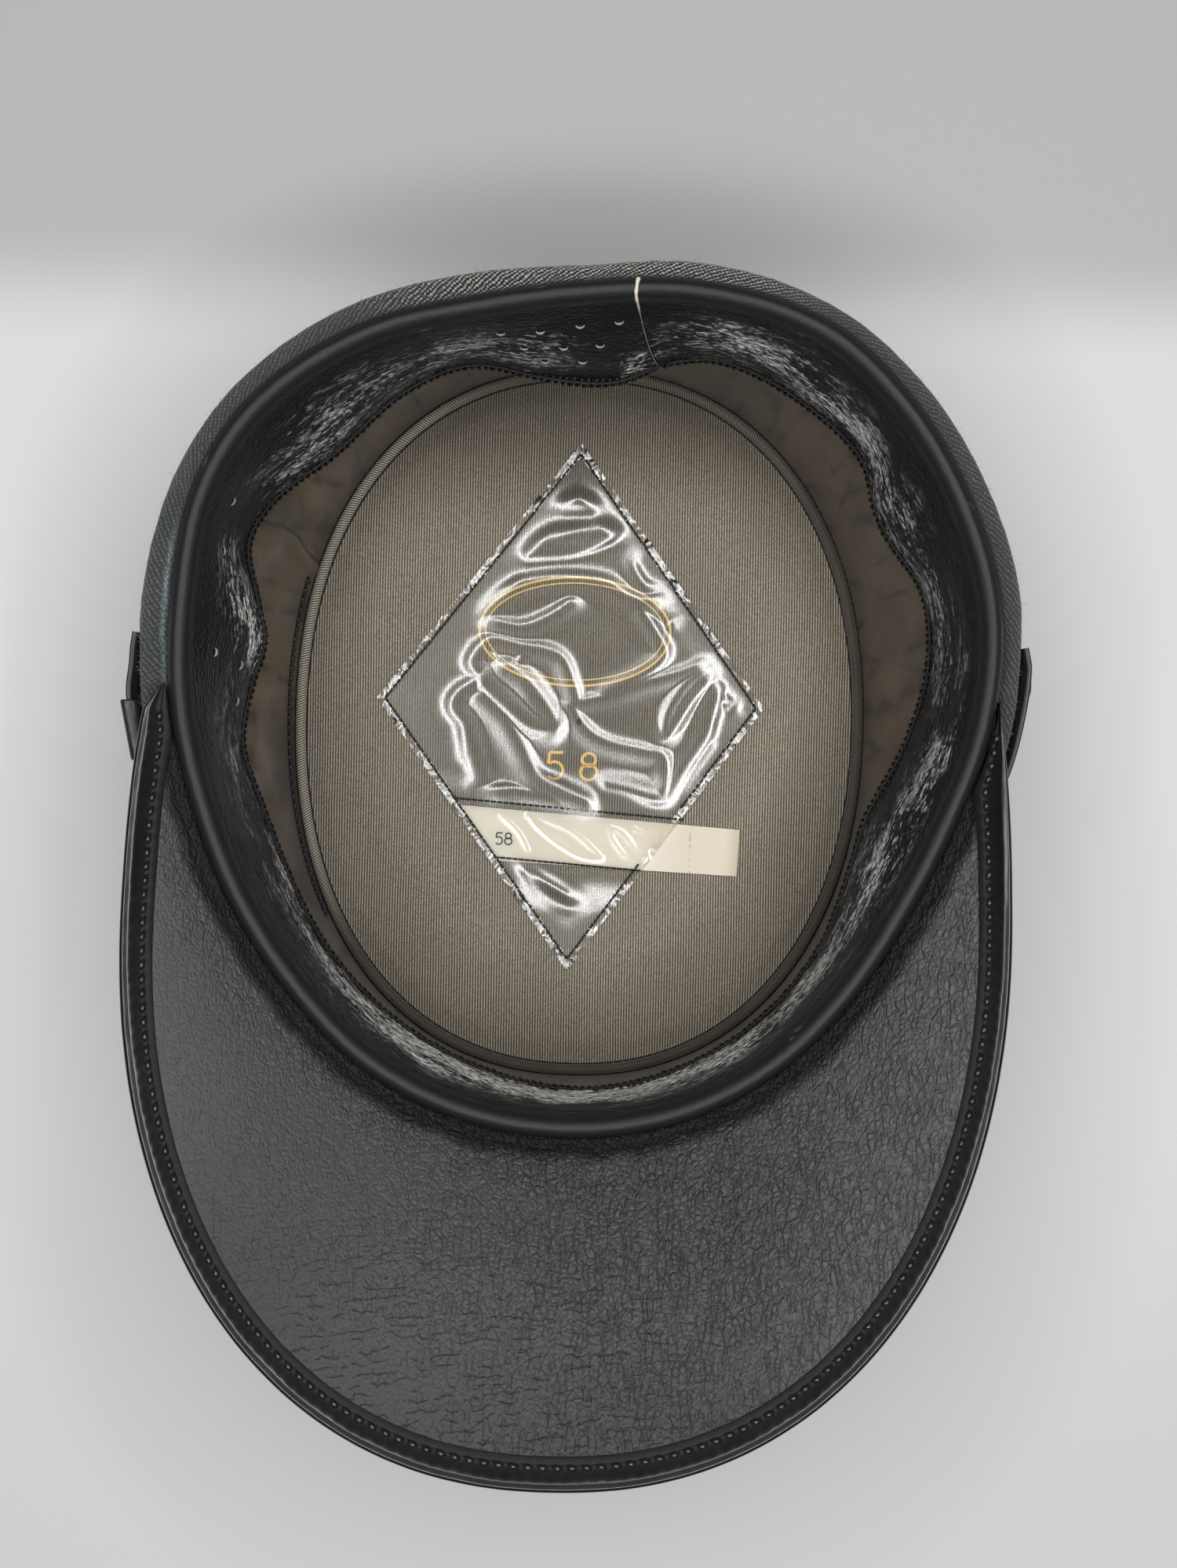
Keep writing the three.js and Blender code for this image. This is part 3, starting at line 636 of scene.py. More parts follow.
def satin():
    f = Finish("BrownSatin", Sheen_Weight=0.12, Specular_IOR_Level=0.4, Roughness=0.46)
    fold = f.mask("fold")
    lines = f.range(f.stripes(f.strip, 0.42, 28), -1, 1)
    fine = f.noise(f.scaled(f.strip, 1.0, 0.35), 900)
    shades = f.range(f.noise(f.scaled(f.strip, 1.0, 0.45), 62), 0.36, 0.64)
    # The fold mask carries painted light: it raises the contrast of the shades on the left folds, and
    # through tint it lightens their crests.
    shades = (shades - 0.5) * (fold * 0.7 + 0.3) + 0.5
    low = f.mix(shades, (0.026, 0.0185, 0.011), (0.068, 0.053, 0.034))
    high = f.mix(shades, (0.062, 0.046, 0.029), (0.185, 0.15, 0.1))
    tint = f.mix(fold, (1.24, 1.09, 0.93), (1.3, 1.2, 1.02))
    # Thin dark crease lines, painted shade.
    crease_shade = f.cells(f.scaled(f.strip, 1.0, 0.22), 70, "DISTANCE_TO_EDGE")
    crease_shade = f.range(crease_shade, 0.0, 0.09, 0.75, 0.0) * f.range(f.noise(f.strip, 80, 2), 0.4, 0.6)
    cloth = f.over(
        f.mix(1.0, f.mix(lines * fine, low, high), tint, "MULTIPLY"),
        (crease_shade, (0.012, 0.009, 0.006)),
        # Painted shade in the valley beside the piping at the foot.
        (f.mask("valley_shade"), (0.016, 0.0105, 0.007)),
        (f.mask("seam"), (0.008, 0.006, 0.005)),
    )
    return f.shade(Base_Color=cloth, Normal=f.bump(lines, 0.03, f.bump(shades, 0.6)))


def rep_lining():
    """Ribbed lining with its ribs along the cap's length, with painted shade at the back and left."""
    f = Finish("RibbedLining", Sheen_Weight=0.15, Specular_IOR_Level=0.4, Roughness=0.62)
    bent = f.shifted(f.place, f.noise(f.place, 14, 2) * 0.0016)
    ribs = f.range(f.stripes(bent, 0.69, 0), -1, 1)
    picks = f.range(f.stripes(f.place, 0.45, 90), -1, 1)
    height = picks * 0.1 + ribs
    shades = f.noise(f.scaled(f.place, 1.0, 0.45), 32, 3, 0.55)
    low = f.mix(shades, (0.045, 0.037, 0.026), (0.07, 0.058, 0.042))
    high = f.mix(shades, (0.325, 0.284, 0.216), (0.47, 0.41, 0.32))
    # The ribs are coloured lighter on top and darker between them, painted shade in their grooves.
    share = f.range(height, 0.15, 1.05) * f.range(f.noise(f.place, 2200, 2), 0.3, 0.7, 0.45, 1.0)
    # Painted shade: darker towards the back and on the left.
    painted_shade = f.range(f.axis("Y"), 0.045, 0.088, 0.0, 0.4) + f.range(f.axis("X"), -0.07, -0.03, 0.1, 0.0)
    return f.shade(
        Base_Color=f.mix(painted_shade, f.mix(share, low, high), (0.02, 0.016, 0.012)),
        Normal=f.bump(height, 0.09),
    )


def corded():
    """Cord cover with fine threads running slantwise."""
    f = Finish("CordCover", Sheen_Weight=0.2, Roughness=0.55)
    lines = f.range(f.stripes(f.strip, 0.62, 20), -1, 1)
    shades = f.noise(f.strip, 90)
    low = f.mix(shades, (0.02, 0.016, 0.011), (0.04, 0.032, 0.023))
    plain = f.mix(shades, (0.06, 0.049, 0.035), (0.1, 0.083, 0.06))
    high = f.mix(f.mask("lit"), plain, (0.42, 0.375, 0.3))
    return f.shade(Base_Color=f.mix(lines, low, high), Normal=f.bump(lines, 0.12))


def visor_leatherette():
    """Grained leatherette: thin wavy furrows between smooth plateaus, and short cracks at the tip."""
    f = Finish("VisorLeatherette", Specular_IOR_Level=0.5)
    x = f.axis("X")
    y = f.axis("Y")
    seam = f.mask("seam")
    warped = f.shifted(f.place, f.noise(f.scaled(f.place, 1.0, 0.6), 280, 2) * 0.0024)
    swayed = f.shifted(f.place, 0.0, f.noise(f.place, 150, 3, 0.55) * 0.006)

    def furrows(squeeze, scale, width):
        edges = f.cells(f.scaled(warped, 1.0, squeeze, squeeze), scale, "DISTANCE_TO_EDGE")
        return f.range(edges, 0.0, width, 1.0, 0.0)

    broken = f.range(f.noise(f.place, 150, 2), 0.36, 0.5)
    wrinkles = (furrows(0.32, 570, 0.12) * broken + furrows(0.6, 920, 0.26) * 0.75) * f.mask("grain")
    fine = f.range(f.cells(f.scaled(warped, 1.0, 0.7, 0.7), 1700), 0.1, 0.7, 1.0, 0.0)
    splits = f.range(f.stripes(swayed, 2.1, 95), 0.84, 1.0)
    gaps = f.range(f.noise(f.scaled(f.place, 0.5, 1.0), 420, 2), 0.47, 0.56)
    cracks = splits * gaps * f.mask("cracks")
    corner = f.range(x, -0.08, -0.02, 0.9, 0.0) * f.range(y, -0.135, -0.075, 1.0, 0.0)
    # Painted light lightens the right side and painted shade darkens the tip; the low left corner is
    # darker, and the seam mask adds painted shade in the dip along the roll.
    colour = f.over(
        f.mix(f.noise(f.place, 25), (0.037, 0.0385, 0.041), (0.048, 0.0495, 0.0525)),
        (f.range(x, 0.03, 0.08), (0.061, 0.0625, 0.0655)),
        (f.range(y, -0.165, -0.125, 0.7, 0.0), (0.018, 0.0185, 0.02)),
        (corner, (0.018, 0.0185, 0.02)),
        (wrinkles * 0.08, (0.02, 0.021, 0.0225)),
        (cracks * 0.5, (0.009, 0.009, 0.01)),
        (seam, (0.005, 0.005, 0.0055)),
    )
    return f.shade(
        Base_Color=colour,
        Roughness=f.range(seam, 0, 1, 0.48, 0.7),
        Normal=f.bump(1.0 - (cracks * 0.6 + wrinkles), 0.3, f.bump(fine, 0.06)),
    )


JET = ((0.004, 0.004, 0.005), (0.008, 0.008, 0.0095))


def patent():
    f = Finish("PatentLeather", Specular_IOR_Level=0.55)
    dents = f.noise(f.place, 260)
    return f.shade(
        Base_Color=f.mix(dents, *JET),
        Roughness=f.range(f.noise(f.place, 3000, 2), 0.3, 0.8, 0.1, 0.18),
        Normal=f.bump(dents, 0.05),
    )


def binding_gloss():
    """Glossy binding leather, dull in the channel that its stitches lie in."""
    f = Finish("BindingLeather", Specular_IOR_Level=0.33, Coat_Roughness=0.22)
    dents = f.noise(f.place, 260)
    channel = f.mask("channel")
    return f.shade(
        Base_Color=f.mix(dents, *JET),
        Roughness=channel * 0.22 + 0.3,
        Coat_Weight=1.0 - channel,
        Normal=f.bump(dents, 0.05),
    )


def strap_leather():
    f = Finish("StrapLeather", Specular_IOR_Level=0.5)
    long = f.noise(f.scaled(f.strip, 0.2, 1.0), 300)
    return f.shade(
        Base_Color=f.mix(long, (0.011, 0.011, 0.013), (0.026, 0.026, 0.03)),
        Roughness=f.range(long, 0.2, 0.8, 0.26, 0.42),
        Normal=f.bump(f.cells(f.strip, 1400), 0.02),
    )


def clear_plastic():
    """Thin clear film: see-through, with crisp reflections, and white where its edge is crumpled, partly
    its own whitening and partly painted highlights of its facets.
    """
    f = Finish("ClearPlastic")
    ripple = f.bump(f.noise(f.place, 1500), 0.024)

    def gloss(roughness):
        inputs = {"Color": 1.0, "Normal": ripple, "Roughness": roughness}
        return f.node("BsdfGlossy", inputs, distribution="BECKMANN")

    def shared(share, one, other):
        return f.node("MixShader", {0: share, 1: one, 2: other})

    clear = f.node("BsdfTransparent", {"Color": (0.97, 0.97, 0.96)})
    haze = f.node("BsdfDiffuse", {"Color": (0.66, 0.66, 0.64)})
    # The white haze on the crumpled edge is partly its own whitening and partly painted highlights.
    crushed_white_and_glint = f.mask("crushed_white_and_glint") * f.range(f.noise(f.place, 420, 3, 0.6), 0.42, 0.6)
    hazed = shared(crushed_white_and_glint * 0.75 + 0.025, clear, haze)
    film = shared(f.node("Fresnel", {"IOR": 1.95}), hazed, shared(0.28, gloss(0.22), gloss(0.31)))
    f.put(f.tree.nodes["Material Output"].inputs["Surface"], film)
    f.tree.nodes.remove(f.shader)
    return f.material


def card_stock():
    """Card that has aged where the film doesn't cover it, with a fold near its free end."""
    f = Finish("CardStock", Roughness=0.75)
    x = f.axis("X")
    fibres = f.noise(f.scaled(f.place, 1.0, 0.4), 700, 4)
    stain = f.noise(f.place, 60)
    aged = f.mix(stain, (0.58, 0.515, 0.41), (0.64, 0.575, 0.47))
    fold = f.range(f.math("ABSOLUTE", x - 0.0297), 0.0001, 0.0004, 1.0, 0.0)
    paper = f.over(
        f.mix(stain, (0.62, 0.59, 0.52), (0.68, 0.65, 0.59)),
        (f.range(x, 0.012, 0.03), aged),
        (f.range(x, 0.0385, 0.0425, 0.0, 0.55), (0.42, 0.33, 0.21)),
        (fold * f.range(f.noise(f.place, 800, 2), 0.45, 0.6, 0.0, 0.5), (0.2, 0.16, 0.11)),
        (fibres * 0.25, (0.55, 0.5, 0.4)),
    )
    return f.shade(Base_Color=paper, Normal=f.bump(fibres, 0.02))


def raw_edge():
    f = Finish("RawLeatherEdge", Roughness=0.8)
    pale = f.mix(f.noise(f.place, 900), (0.42, 0.38, 0.25), (0.75, 0.7, 0.55))
    # Painted shade: darker towards the lower end of the slit.
    return f.shade(Base_Color=f.mix(f.mask("low"), pale, (0.2, 0.19, 0.165)))


def speckled(name, scale, detail, low, high, rough=None, relief=0, **plain):
    """A colour that varies finely from low to high. rough gives the range of the specks and the
    roughness at its ends."""
    f = Finish(name, **plain)
    specks = f.noise(f.place, scale, detail)
    if rough:
        f.shade(Roughness=f.range(specks, *rough))
    if relief:
        f.shade(Normal=f.bump(specks, relief))
    return f.shade(Base_Color=f.mix(specks, low, high))


CLOTH = twill_cloth()
WORN = worn_leather()
SATIN = satin()
REP = rep_lining()
CORD = corded()
VISOR_GRAIN = visor_leatherette()
PATENT = patent()
BINDING = binding_gloss()
STRAP = strap_leather()
FILM = clear_plastic()
CARD_STOCK = card_stock()
RAW_EDGE = raw_edge()
BLACK_THREAD = plain_thread("BlackThread", (0.022, 0.021, 0.02), 0.38)
WAXED = speckled(
    "WaxedThread", 700, 2, (0.006, 0.006, 0.007), (0.02, 0.02, 0.022), (0.3, 0.7, 0.15, 0.34),
    Specular_IOR_Level=1.0,
)
GOLD = speckled(
    "GoldFoil", 900, 3, (0.78, 0.5, 0.12), (1.0, 0.76, 0.3), (0.2, 0.8, 0.3, 0.45), Metallic=0.45
)
METAL = speckled(
    "BlackenedMetal", 500, 3, (0.03, 0.03, 0.032), 0.09, (0.3, 0.7, 0.28, 0.45), 0.02,
    Metallic=0.9,
)
PRINT_INK = speckled("DarkInk", 1500, 2, 0.02, (0.07, 0.065, 0.06), Roughness=0.8)
LIP = speckled("HoleLip", 1200, 2, 0.05, (0.4, 0.39, 0.37), Roughness=0.6)
HOLE = speckled("HoleShade", 800, 1, 0.001, 0.004, Roughness=0.9)

# Camera, straight above the opening. The photo was taken 570 mm above the table.
CAMERA = {"x": 2.838, "y": -16.2, "z": 570, "roll": 1.3, "lens": 49.46, "sensor": 36}

camera_data = bpy.data.cameras.new("Camera")
camera_data.sensor_fit = "VERTICAL"
camera_data.sensor_height = CAMERA["sensor"]
camera_data.lens = CAMERA["lens"]
camera = add("Camera", camera_data)
camera.location = (CAMERA["x"] * MM, CAMERA["y"] * MM, CAMERA["z"] * MM)
camera.rotation_euler = (0, 0, math.radians(CAMERA["roll"]))
bpy.context.scene.camera = camera


# Cloth wall with its hem

# Hem section: share of the way from the cloth's outside to the roll, and depth below the top
HEM_SECTION = [
    (0, 2.6), (0.02, 1.5), (0.12, 0.6), (0.3, 0.15), (0.5, 0), (0.72, 0.3), (0.92, 1.1), (1, 2.4), (1, 6),
]
WALL_SHARES = np.linspace(0, 1, 12)
WALL_STEPS = [1] * 11 + [3] * 10 + [1] * 3


def cloth_wall():
    bearing = turn_of(720)
    top = hem_top(bearing)
    outer = cloth_radius(bearing)
    inner = roll_radius(bearing) + GAP
    outside = [lerp(WALL_FOOT, top - HEM_ROUND, share) for share in WALL_SHARES]
    inside = [lerp(WALL_FOOT, top, share) for share in (0.9, 0.5, 0)]
    rows = [(outside_radius(bearing, z), z) for z in outside]
    rows += [(lerp(outer, inner, share), top - down) for share, down in HEM_SECTION]
    rows += [(inside_radius(bearing, z), z) for z in inside]
    weights = spline(np.eye(len(rows)), WALL_STEPS)
    radius, z = (np.concatenate(column, 1) @ weights.T for column in zip(*rows))
    points = at(bearing, radius, z)
    depth = np.clip(top - z, 0, 100)
    low = 0.35 * bumps(points, (22, 22, 30), 1) * smooth(z, 6, 20) * smooth(depth, 0.2, 4)
    fine = 0.16 * bumps(points, 3, 2) * (1 - smooth(depth, 2, 6))
    across = (np.linalg.norm(points[..., :2], axis=-1) - inner) / (outer - inner)
    left = between(bearing, 262, 268, 288, 296)
    crease = left * hump(across - 0.08 * bumps(points, (3, 6, 3), 15), 0.2, 0.07)
    faded = smooth(cos_of(bearing), 0.84, 0.99) * (1 - smooth(depth, 3, 9))
    points = points + normals(points, True) * (low + fine)[..., None]
    return grid("cloth_wall", points, True, {"crease": crease * (depth < 3), "faded": faded})


piece(cloth_wall(), CLOTH, "cloth", "crown_side")

# Crown section: share of its oval, and height
CROWN_SECTION = [
    (0.02, 0), (0.5, 0), (0.9, 0), (0.985, 0), (0.995, 0.25), (1, 0.9), (1, 1.6), (0.9985, 2.3),
    (0.993, 2.8), (0.98, 3), (0.5, 3), (0.02, 3),
]


def crown_plate():
    bearing = turn_of(360)
    share, z = np.array(CROWN_SECTION).T
    return grid("crown_cloth", at(bearing, oval_radius(bearing, WALL_MARGIN) * share, z), True)


piece(crown_plate(), CLOTH, "cloth", "crown_top")


# Side lining, from the crown up behind the sweatband

LINING_FOOT = WALL_FOOT + LINING_GAP
LINING_BELOW_RIM = 17
LINING_SEAM = 300.3


def lining_wall():
    bearing = turn_of(860)
    z = lerp(LINING_FOOT, rim_height(bearing) - LINING_BELOW_RIM, np.linspace(0, 1, 34))
    fade = smooth(z, 8, 30)
    leaning = bearing + (z - 45) * 0.06
    push = sum(height * fade * hump(leaning, spot, width) for spot, width, height in LINING_WRINKLES)
    outer = inside_radius(bearing, z) - LINING_GAP
    inner = outer - LINING_WALL - push
    left = 1 - smooth(np.abs(bearing - 275), 30, 75)
    flat = at(bearing, inner, z)
    folds = bumps(flat, (8, 8, 24), 3) * lerp(0.3, 1.9, left) + bumps(flat, (4, 4, 9), 4) * 0.2
    inner = inner - np.maximum(folds, -0.6) * fade
    off_seam = bearing - (LINING_SEAM + 1.6 * between(z, 10, 24, 30, 50))
    seam = hump(off_seam, 0, 0.3)
    inner = inner - 0.9 * hump(off_seam, -1.6, 1.1) + 0.8 * seam
    points = np.concatenate([at(bearing, outer, z), at(bearing, inner, z)[:, ::-1]], 1)
    drift = 6 * bumps(flat, (30, 30, 60), 21)
    masks = {
        "seam": seam,
        # fold: painted light on the crests of the left folds.
        "fold": left * fade * smooth(folds + 0.5 * bumps(flat, (20, 20, 40), 20), -0.7, 1.2),
        # valley: painted shade beside the piping at the foot.
        "valley_shade": 0.8 * between(bearing, 226, 236, 262, 276) * (1 - smooth(z + drift, 14, 22)),
    }
    bare = np.zeros(z.shape)
    masks = {key: np.concatenate([bare, mask[:, ::-1]], 1) for key, mask in masks.items()}
    return grid("side_satin", points, True, masks)


side_cover = piece(lining_wall(), SATIN, "side_lining", "side_lining")


# Crown lining, a low padded dome, and the cord round it

CROWN_LINING_EDGE = WALL_FOOT + CROWN_LINING_THICKNESS
CROWN_LINING_MARGIN = -2 * PIPING_RADIUS - GAP


def crown_lining_top(x, y):
    return CROWN_LINING_EDGE + CROWN_LINING_DOME * np.maximum(0, 1 - oval_share(x, y))


def crown_lining():
    bearing = turn_of(360)
    shares = np.concatenate([np.linspace(0.01, 0.9, 46), np.linspace(0.915, 1, 10)])
    radius = oval_radius(bearing, CROWN_LINING_MARGIN) * shares
    flat = at(bearing, radius, 0)
    edge = smooth(shares, 0.93, 1.0)
    waves = np.sin(np.radians(bearing) * 62 + 3 * bumps(flat, 30, 5))
    pucker = 0.18 * waves * smooth(shares, 0.8, 0.97)
    swell = 0.35 * bumps(flat, (40, 26, 30), 6)
    z = crown_lining_top(flat[..., 0], flat[..., 1]) + swell * (1 - edge) + pucker * (1 - edge) - 0.9 * edge
    foot = at(bearing, radius[:, ::-1], WALL_FOOT)
    return grid("crown_rep", np.concatenate([at(bearing, radius, z), foot], 1), True)


crown_cover = piece(crown_lining(), REP, "crown_lining", "crown_lining")


def piping():
    bearing = turn_of(620)[:, 0]
    path = at(bearing, oval_radius(bearing, -PIPING_RADIUS), CROWN_LINING_EDGE + 0.5)
    path[:, 2] += 0.12 * bumps(path, 14, 7)
    lit = between(bearing, 222, 245, 322, 350) + 0.3 * smooth(cos_of(bearing), 0.6, 0.95)
    masks = {"lit": np.minimum(lit, 1)}
    return tubes("piping_cord", path[None], UP, PIPING_RADIUS, 14, True, masks)


piece(piping(), CORD, "piping", "lining_piping")


# Sweatband

# Inward from the roll's plan radius, and down from the rim
SWEATBAND_ROLL = [(0, 5), (0, 1.8), (0.9, 0.2), (2.7, -0.4), (4.6, 0.9), (5.8, 3.6)]
SWEATBAND_BACK = [(4.4, 4), (2.7, 1.2), (1.4, 5)]
FRONT_SHARES = [0.12, 0.26, 0.42, 0.58, 0.74, 0.88, 1]
FRONT_FOLD = SWEATBAND_ROLL[-1]

# Steps from each row of the band's section to the next
BAND_STEPS = [3, 4, 4, 4, 4, 4, 5, 6, 6, 6, 6, 6, 3] + [1] * 10


def front_columns(shares):
    """Columns of the band's bowed front, at shares of its depth."""
    mix = 1 - (1 - np.array(shares)) ** SWEATBAND_BOW
    inward, down = FRONT_FOLD
    return np.stack([1 - mix, -inward * (1 - mix), mix, lerp(down, SWEATBAND_DEPTH, np.array(shares))], -1)


def band_columns():
    """For each place of the band's section: weight of the roll's radius, offset, weight of the lower
    edge's radius, and depth below the rim."""
    front = front_columns(FRONT_SHARES)
    roll = [(1, -inward, 0, down) for inward, down in SWEATBAND_ROLL]
    back = [(1, -inward, 0, down) for inward, down in SWEATBAND_BACK]
    rows = np.concatenate([roll, front, front[::-1] + (0, LEATHER_WALL, 0, 0), back])
    return spline(rows, BAND_STEPS)


def edge_radius(bearing):
    return np.minimum(wave_radius(bearing), roll_radius(bearing) - 5)


def band_surface(bearing, columns):
    """Points of the band for arrays of bearings, one column of them for each place."""
    a, b, c, d = columns.T
    radius = a * roll_radius(bearing) + b + c * edge_radius(bearing)
    return at(bearing, radius, rim_height(bearing) - d)


def seam_bearing(share):
    """Bearing of the butt seam, which slants down the band."""
    return lerp(SEAM_TOP_BEARING, SEAM_LOW_BEARING, share)


# Rubbed patches of the band: bearing, spread, depth share, spread, strength
WEAR = [
    (94, 5, 0.3, 0.22, 0.9), (103, 7, 0.34, 0.34, 0.8), (113, 7, 0.42, 0.4, 0.75),
    (123, 9, 0.52, 0.42, 0.85), (139, 12, 0.62, 0.42, 0.95), (158, 14, 0.68, 0.38, 1.35),
    (183, 20, 0.7, 0.36, 2.2), (208, 13, 0.68, 0.4, 1.35), (228, 12, 0.74, 0.38, 0.85),
    (243, 9, 0.8, 0.36, 0.8), (262, 9, 0.66, 0.38, 0.75), (282, 7, 0.86, 0.26, 1.45),
    (287, 5, 0.6, 0.22, 0.8), (294, 4, 0.5, 0.2, 0.7), (309, 9, 0.75, 0.3, 0.85),
    (322, 10, 0.6, 0.32, 0.85), (338, 10, 0.55, 0.4, 0.85), (352, 7, 0.6, 0.4, 0.7),
    (8, 3, 0.8, 0.2, 1.35), (18, 8, 0.48, 0.38, 1.05), (31, 9, 0.55, 0.36, 1.0),
    (44, 9, 0.65, 0.34, 0.95), (58, 10, 0.72, 0.32, 0.85), (74, 8, 0.75, 0.3, 0.75),
    (84, 7, 0.55, 0.4, 0.65),
]
WEAR_FLOOR = 0.06
WEAR_MOST = 2.1


def band_grid():
    columns = band_columns()
    share = np.clip(columns[:, 3] / SWEATBAND_DEPTH, 0, 1)
    base = np.linspace(SEAM_GAP / 2, 360 - SEAM_GAP / 2, 860)[:, None]
    bearing = base + seam_bearing(share)
    points = band_surface(bearing, columns)
    visible = np.arange(len(columns)) < sum(BAND_STEPS[: len(SWEATBAND_ROLL) + len(FRONT_SHARES)])
    front = visible * smooth(share, 0.09, 0.22)
    wear = WEAR_FLOOR
    for spot, width, depth, tall, strength in WEAR:
        off = np.mod(bearing - spot + 180, 360) - 180
        wear = wear + strength * hump(off, 0, width) * hump(share, depth, tall)
    swell = 0.55 * bumps(points, (16, 16, 14), 8) + 0.22 * bumps(points, (5, 5, 4), 9)
    lift = swell * front * (1 - smooth(share, 0.9, 1))
    polish = visible * (1 - smooth(share, 0.03, 0.1))
    masks = {"wear": np.clip(wear, 0, WEAR_MOST) * front, "polish": polish}
    return points + normals(points) * lift[..., None], masks


band_points, band_masks = band_grid()
piece(grid("band_leather", band_points, masks=band_masks), WORN, "sweatband_leather", "sweatband")


def band_frame(bearing, share):
    """Point on the band's front with its directions along the band, down it and out of it."""
    def spot(b, s):
        return band_surface(np.array([[b]]), front_columns([s]))[0, 0]

    here = spot(bearing, share)
    ahead = unit(spot(bearing + 0.5, share) - spot(bearing - 0.5, share))
    down = unit(spot(bearing, min(share + 0.02, 1)) - spot(bearing, share - 0.02))
    out = unit(np.cross(ahead, down))
    return here, ahead, down, -out if out[:2] @ here[:2] > 0 else out


# Ventilation holes: bearing and depth share. Those at the back and left show a worn lip.
LIPPED_HOLES = [
    (347.1, 0.22), (353, 0.22), (359.2, 0.18), (4.8, 0.16), (350.4, 0.44), (356.5, 0.42), (2.4, 0.38),
    (353.5, 0.64), (359.5, 0.6), (278.1, 0.22), (300.1, 0.28), (293.6, 0.36), (277.1, 0.6), (271.1, 0.66),
]
PLAIN_HOLES = [(150 + 6.6 * k, 0.4 + 0.03 * (k % 3)) for k in range(13)]
PLAIN_HOLES += [(153.3 + 6.6 * k, 0.62 + 0.02 * (k % 2)) for k in range(12)]
PLAIN_HOLES += [(190, 0.8), (200.9, 0.78), (176, 0.8), (232, 0.5), (240, 0.55), (284.1, 0.22), (266, 0.3)]
HOLE_PROFILE = [(0.78, -0.2), (0.78, 0.06), (0.3, 0.05)]
SLIT_PROFILE = [(0.5, -0.2), (0.5, 0.07), (0.2, 0.06)]
LIP_RADIUS = 0.95
LIP_WIDTHS = np.array([0.08, 0.2, 0.3, 0.37, 0.4, 0.37, 0.3, 0.2, 0.08])

FRONT_PLACES = slice(20, 60)


def band_spot(bearing, share):
    """Like band_frame, with the point moved onto the band's relief."""
    here, ahead, down, out = band_frame(bearing, share)
    nearest = band_points[:, FRONT_PLACES].reshape(-1, 3)
    return nearest[((nearest - here) ** 2).sum(1).argmin()], ahead, down, out


def hole_lips():
    """Worn leather that stands up along the lower side of each hole."""
    turn = np.radians(np.linspace(-85, 85, len(LIP_WIDTHS)))
    paths = []
    outs = []
    for spot in LIPPED_HOLES:
        here, ahead, down, out = band_spot(*spot)
        paths.append(here + LIP_RADIUS * (np.outer(np.cos(turn), down) + np.outer(np.sin(turn), ahead)))
        outs.append(np.broadcast_to(out, (len(turn), 3)))
    return tubes("hole_lips", paths, outs, LIP_WIDTHS)


piece(hole_lips(), LIP, "sweatband_leather")
# Dark discs of painted shade stand for the holes.
for hole_name, hole_spots, hole_profile in (
    ("hole_shades", LIPPED_HOLES, HOLE_PROFILE),
    ("hole_slits", PLAIN_HOLES, SLIT_PROFILE),
):
    frames = [band_spot(*spot) for spot in hole_spots]
    hole_mesh = turned(hole_name, [f[0] for f in frames], [f[3] for f in frames], hole_profile)
    piece(hole_mesh, HOLE, "sweatband_leather")


# Overlocked lower edge: loops round the edge, and a chain that joins them on the band's front

OVERLOCK_PITCH = 1.7
OVERLOCK_THREAD = 0.4
OVERLOCK_TURN = 358.4
CHAIN_THREAD = 0.26
LOOP_SIZE = {"tall": 1.9, "deep": 1.12, "slant": 0.75}


def band_edge(bearing):
    return at(bearing, edge_radius(bearing), rim_height(bearing) - SWEATBAND_DEPTH)


def overlock():
    low = SEAM_LOW_BEARING + 0.8
    spots = spread(band_edge, low, low + OVERLOCK_TURN, OVERLOCK_PITCH)
    turn = TAU * np.arange(16) / 16
    loops = []
    chain = []
    for spot, jitter in zip(spots, rng.normal(0, 1, (len(spots), 3))):
        here, ahead, down, out = band_frame(spot, 0.985)
        middle = here - down * 0.85 - out * 0.45
        tall = np.outer(np.cos(turn), -down) * (LOOP_SIZE["tall"] + 0.16 * jitter[0])
        deep = np.outer(np.sin(turn), out) * (LOOP_SIZE["deep"] + 0.06 * jitter[1])
        slant = np.outer(np.cos(turn), ahead) * (LOOP_SIZE["slant"] + 0.12 * jitter[2])
        loops.append(middle + tall + deep + slant)
        for step, side_step in ((0, 0.45), (0.5, -0.35)):
            chain.append(here - down * (2.35 + side_step) + out * 0.32 + ahead * step * OVERLOCK_PITCH)
    return np.array(loops), np.array([chain])


loops, chain = overlock()
loop_axes = np.gradient(loops.mean(1), axis=0)[:, None]
overlock_loops = tubes("overlock_loops", loops, loop_axes, OVERLOCK_THREAD, 5, True)
piece(overlock_loops, BLACK_THREAD, "sweatband_leather")
overlock_chain = tubes("overlock_chain", chain, chain * (-1, -1, 0), CHAIN_THREAD, 5)
piece(overlock_chain, BLACK_THREAD, "sweatband_leather")


# Raw cut edges that show in the butt seam

SEAM_PLACES = slice(6, 56)


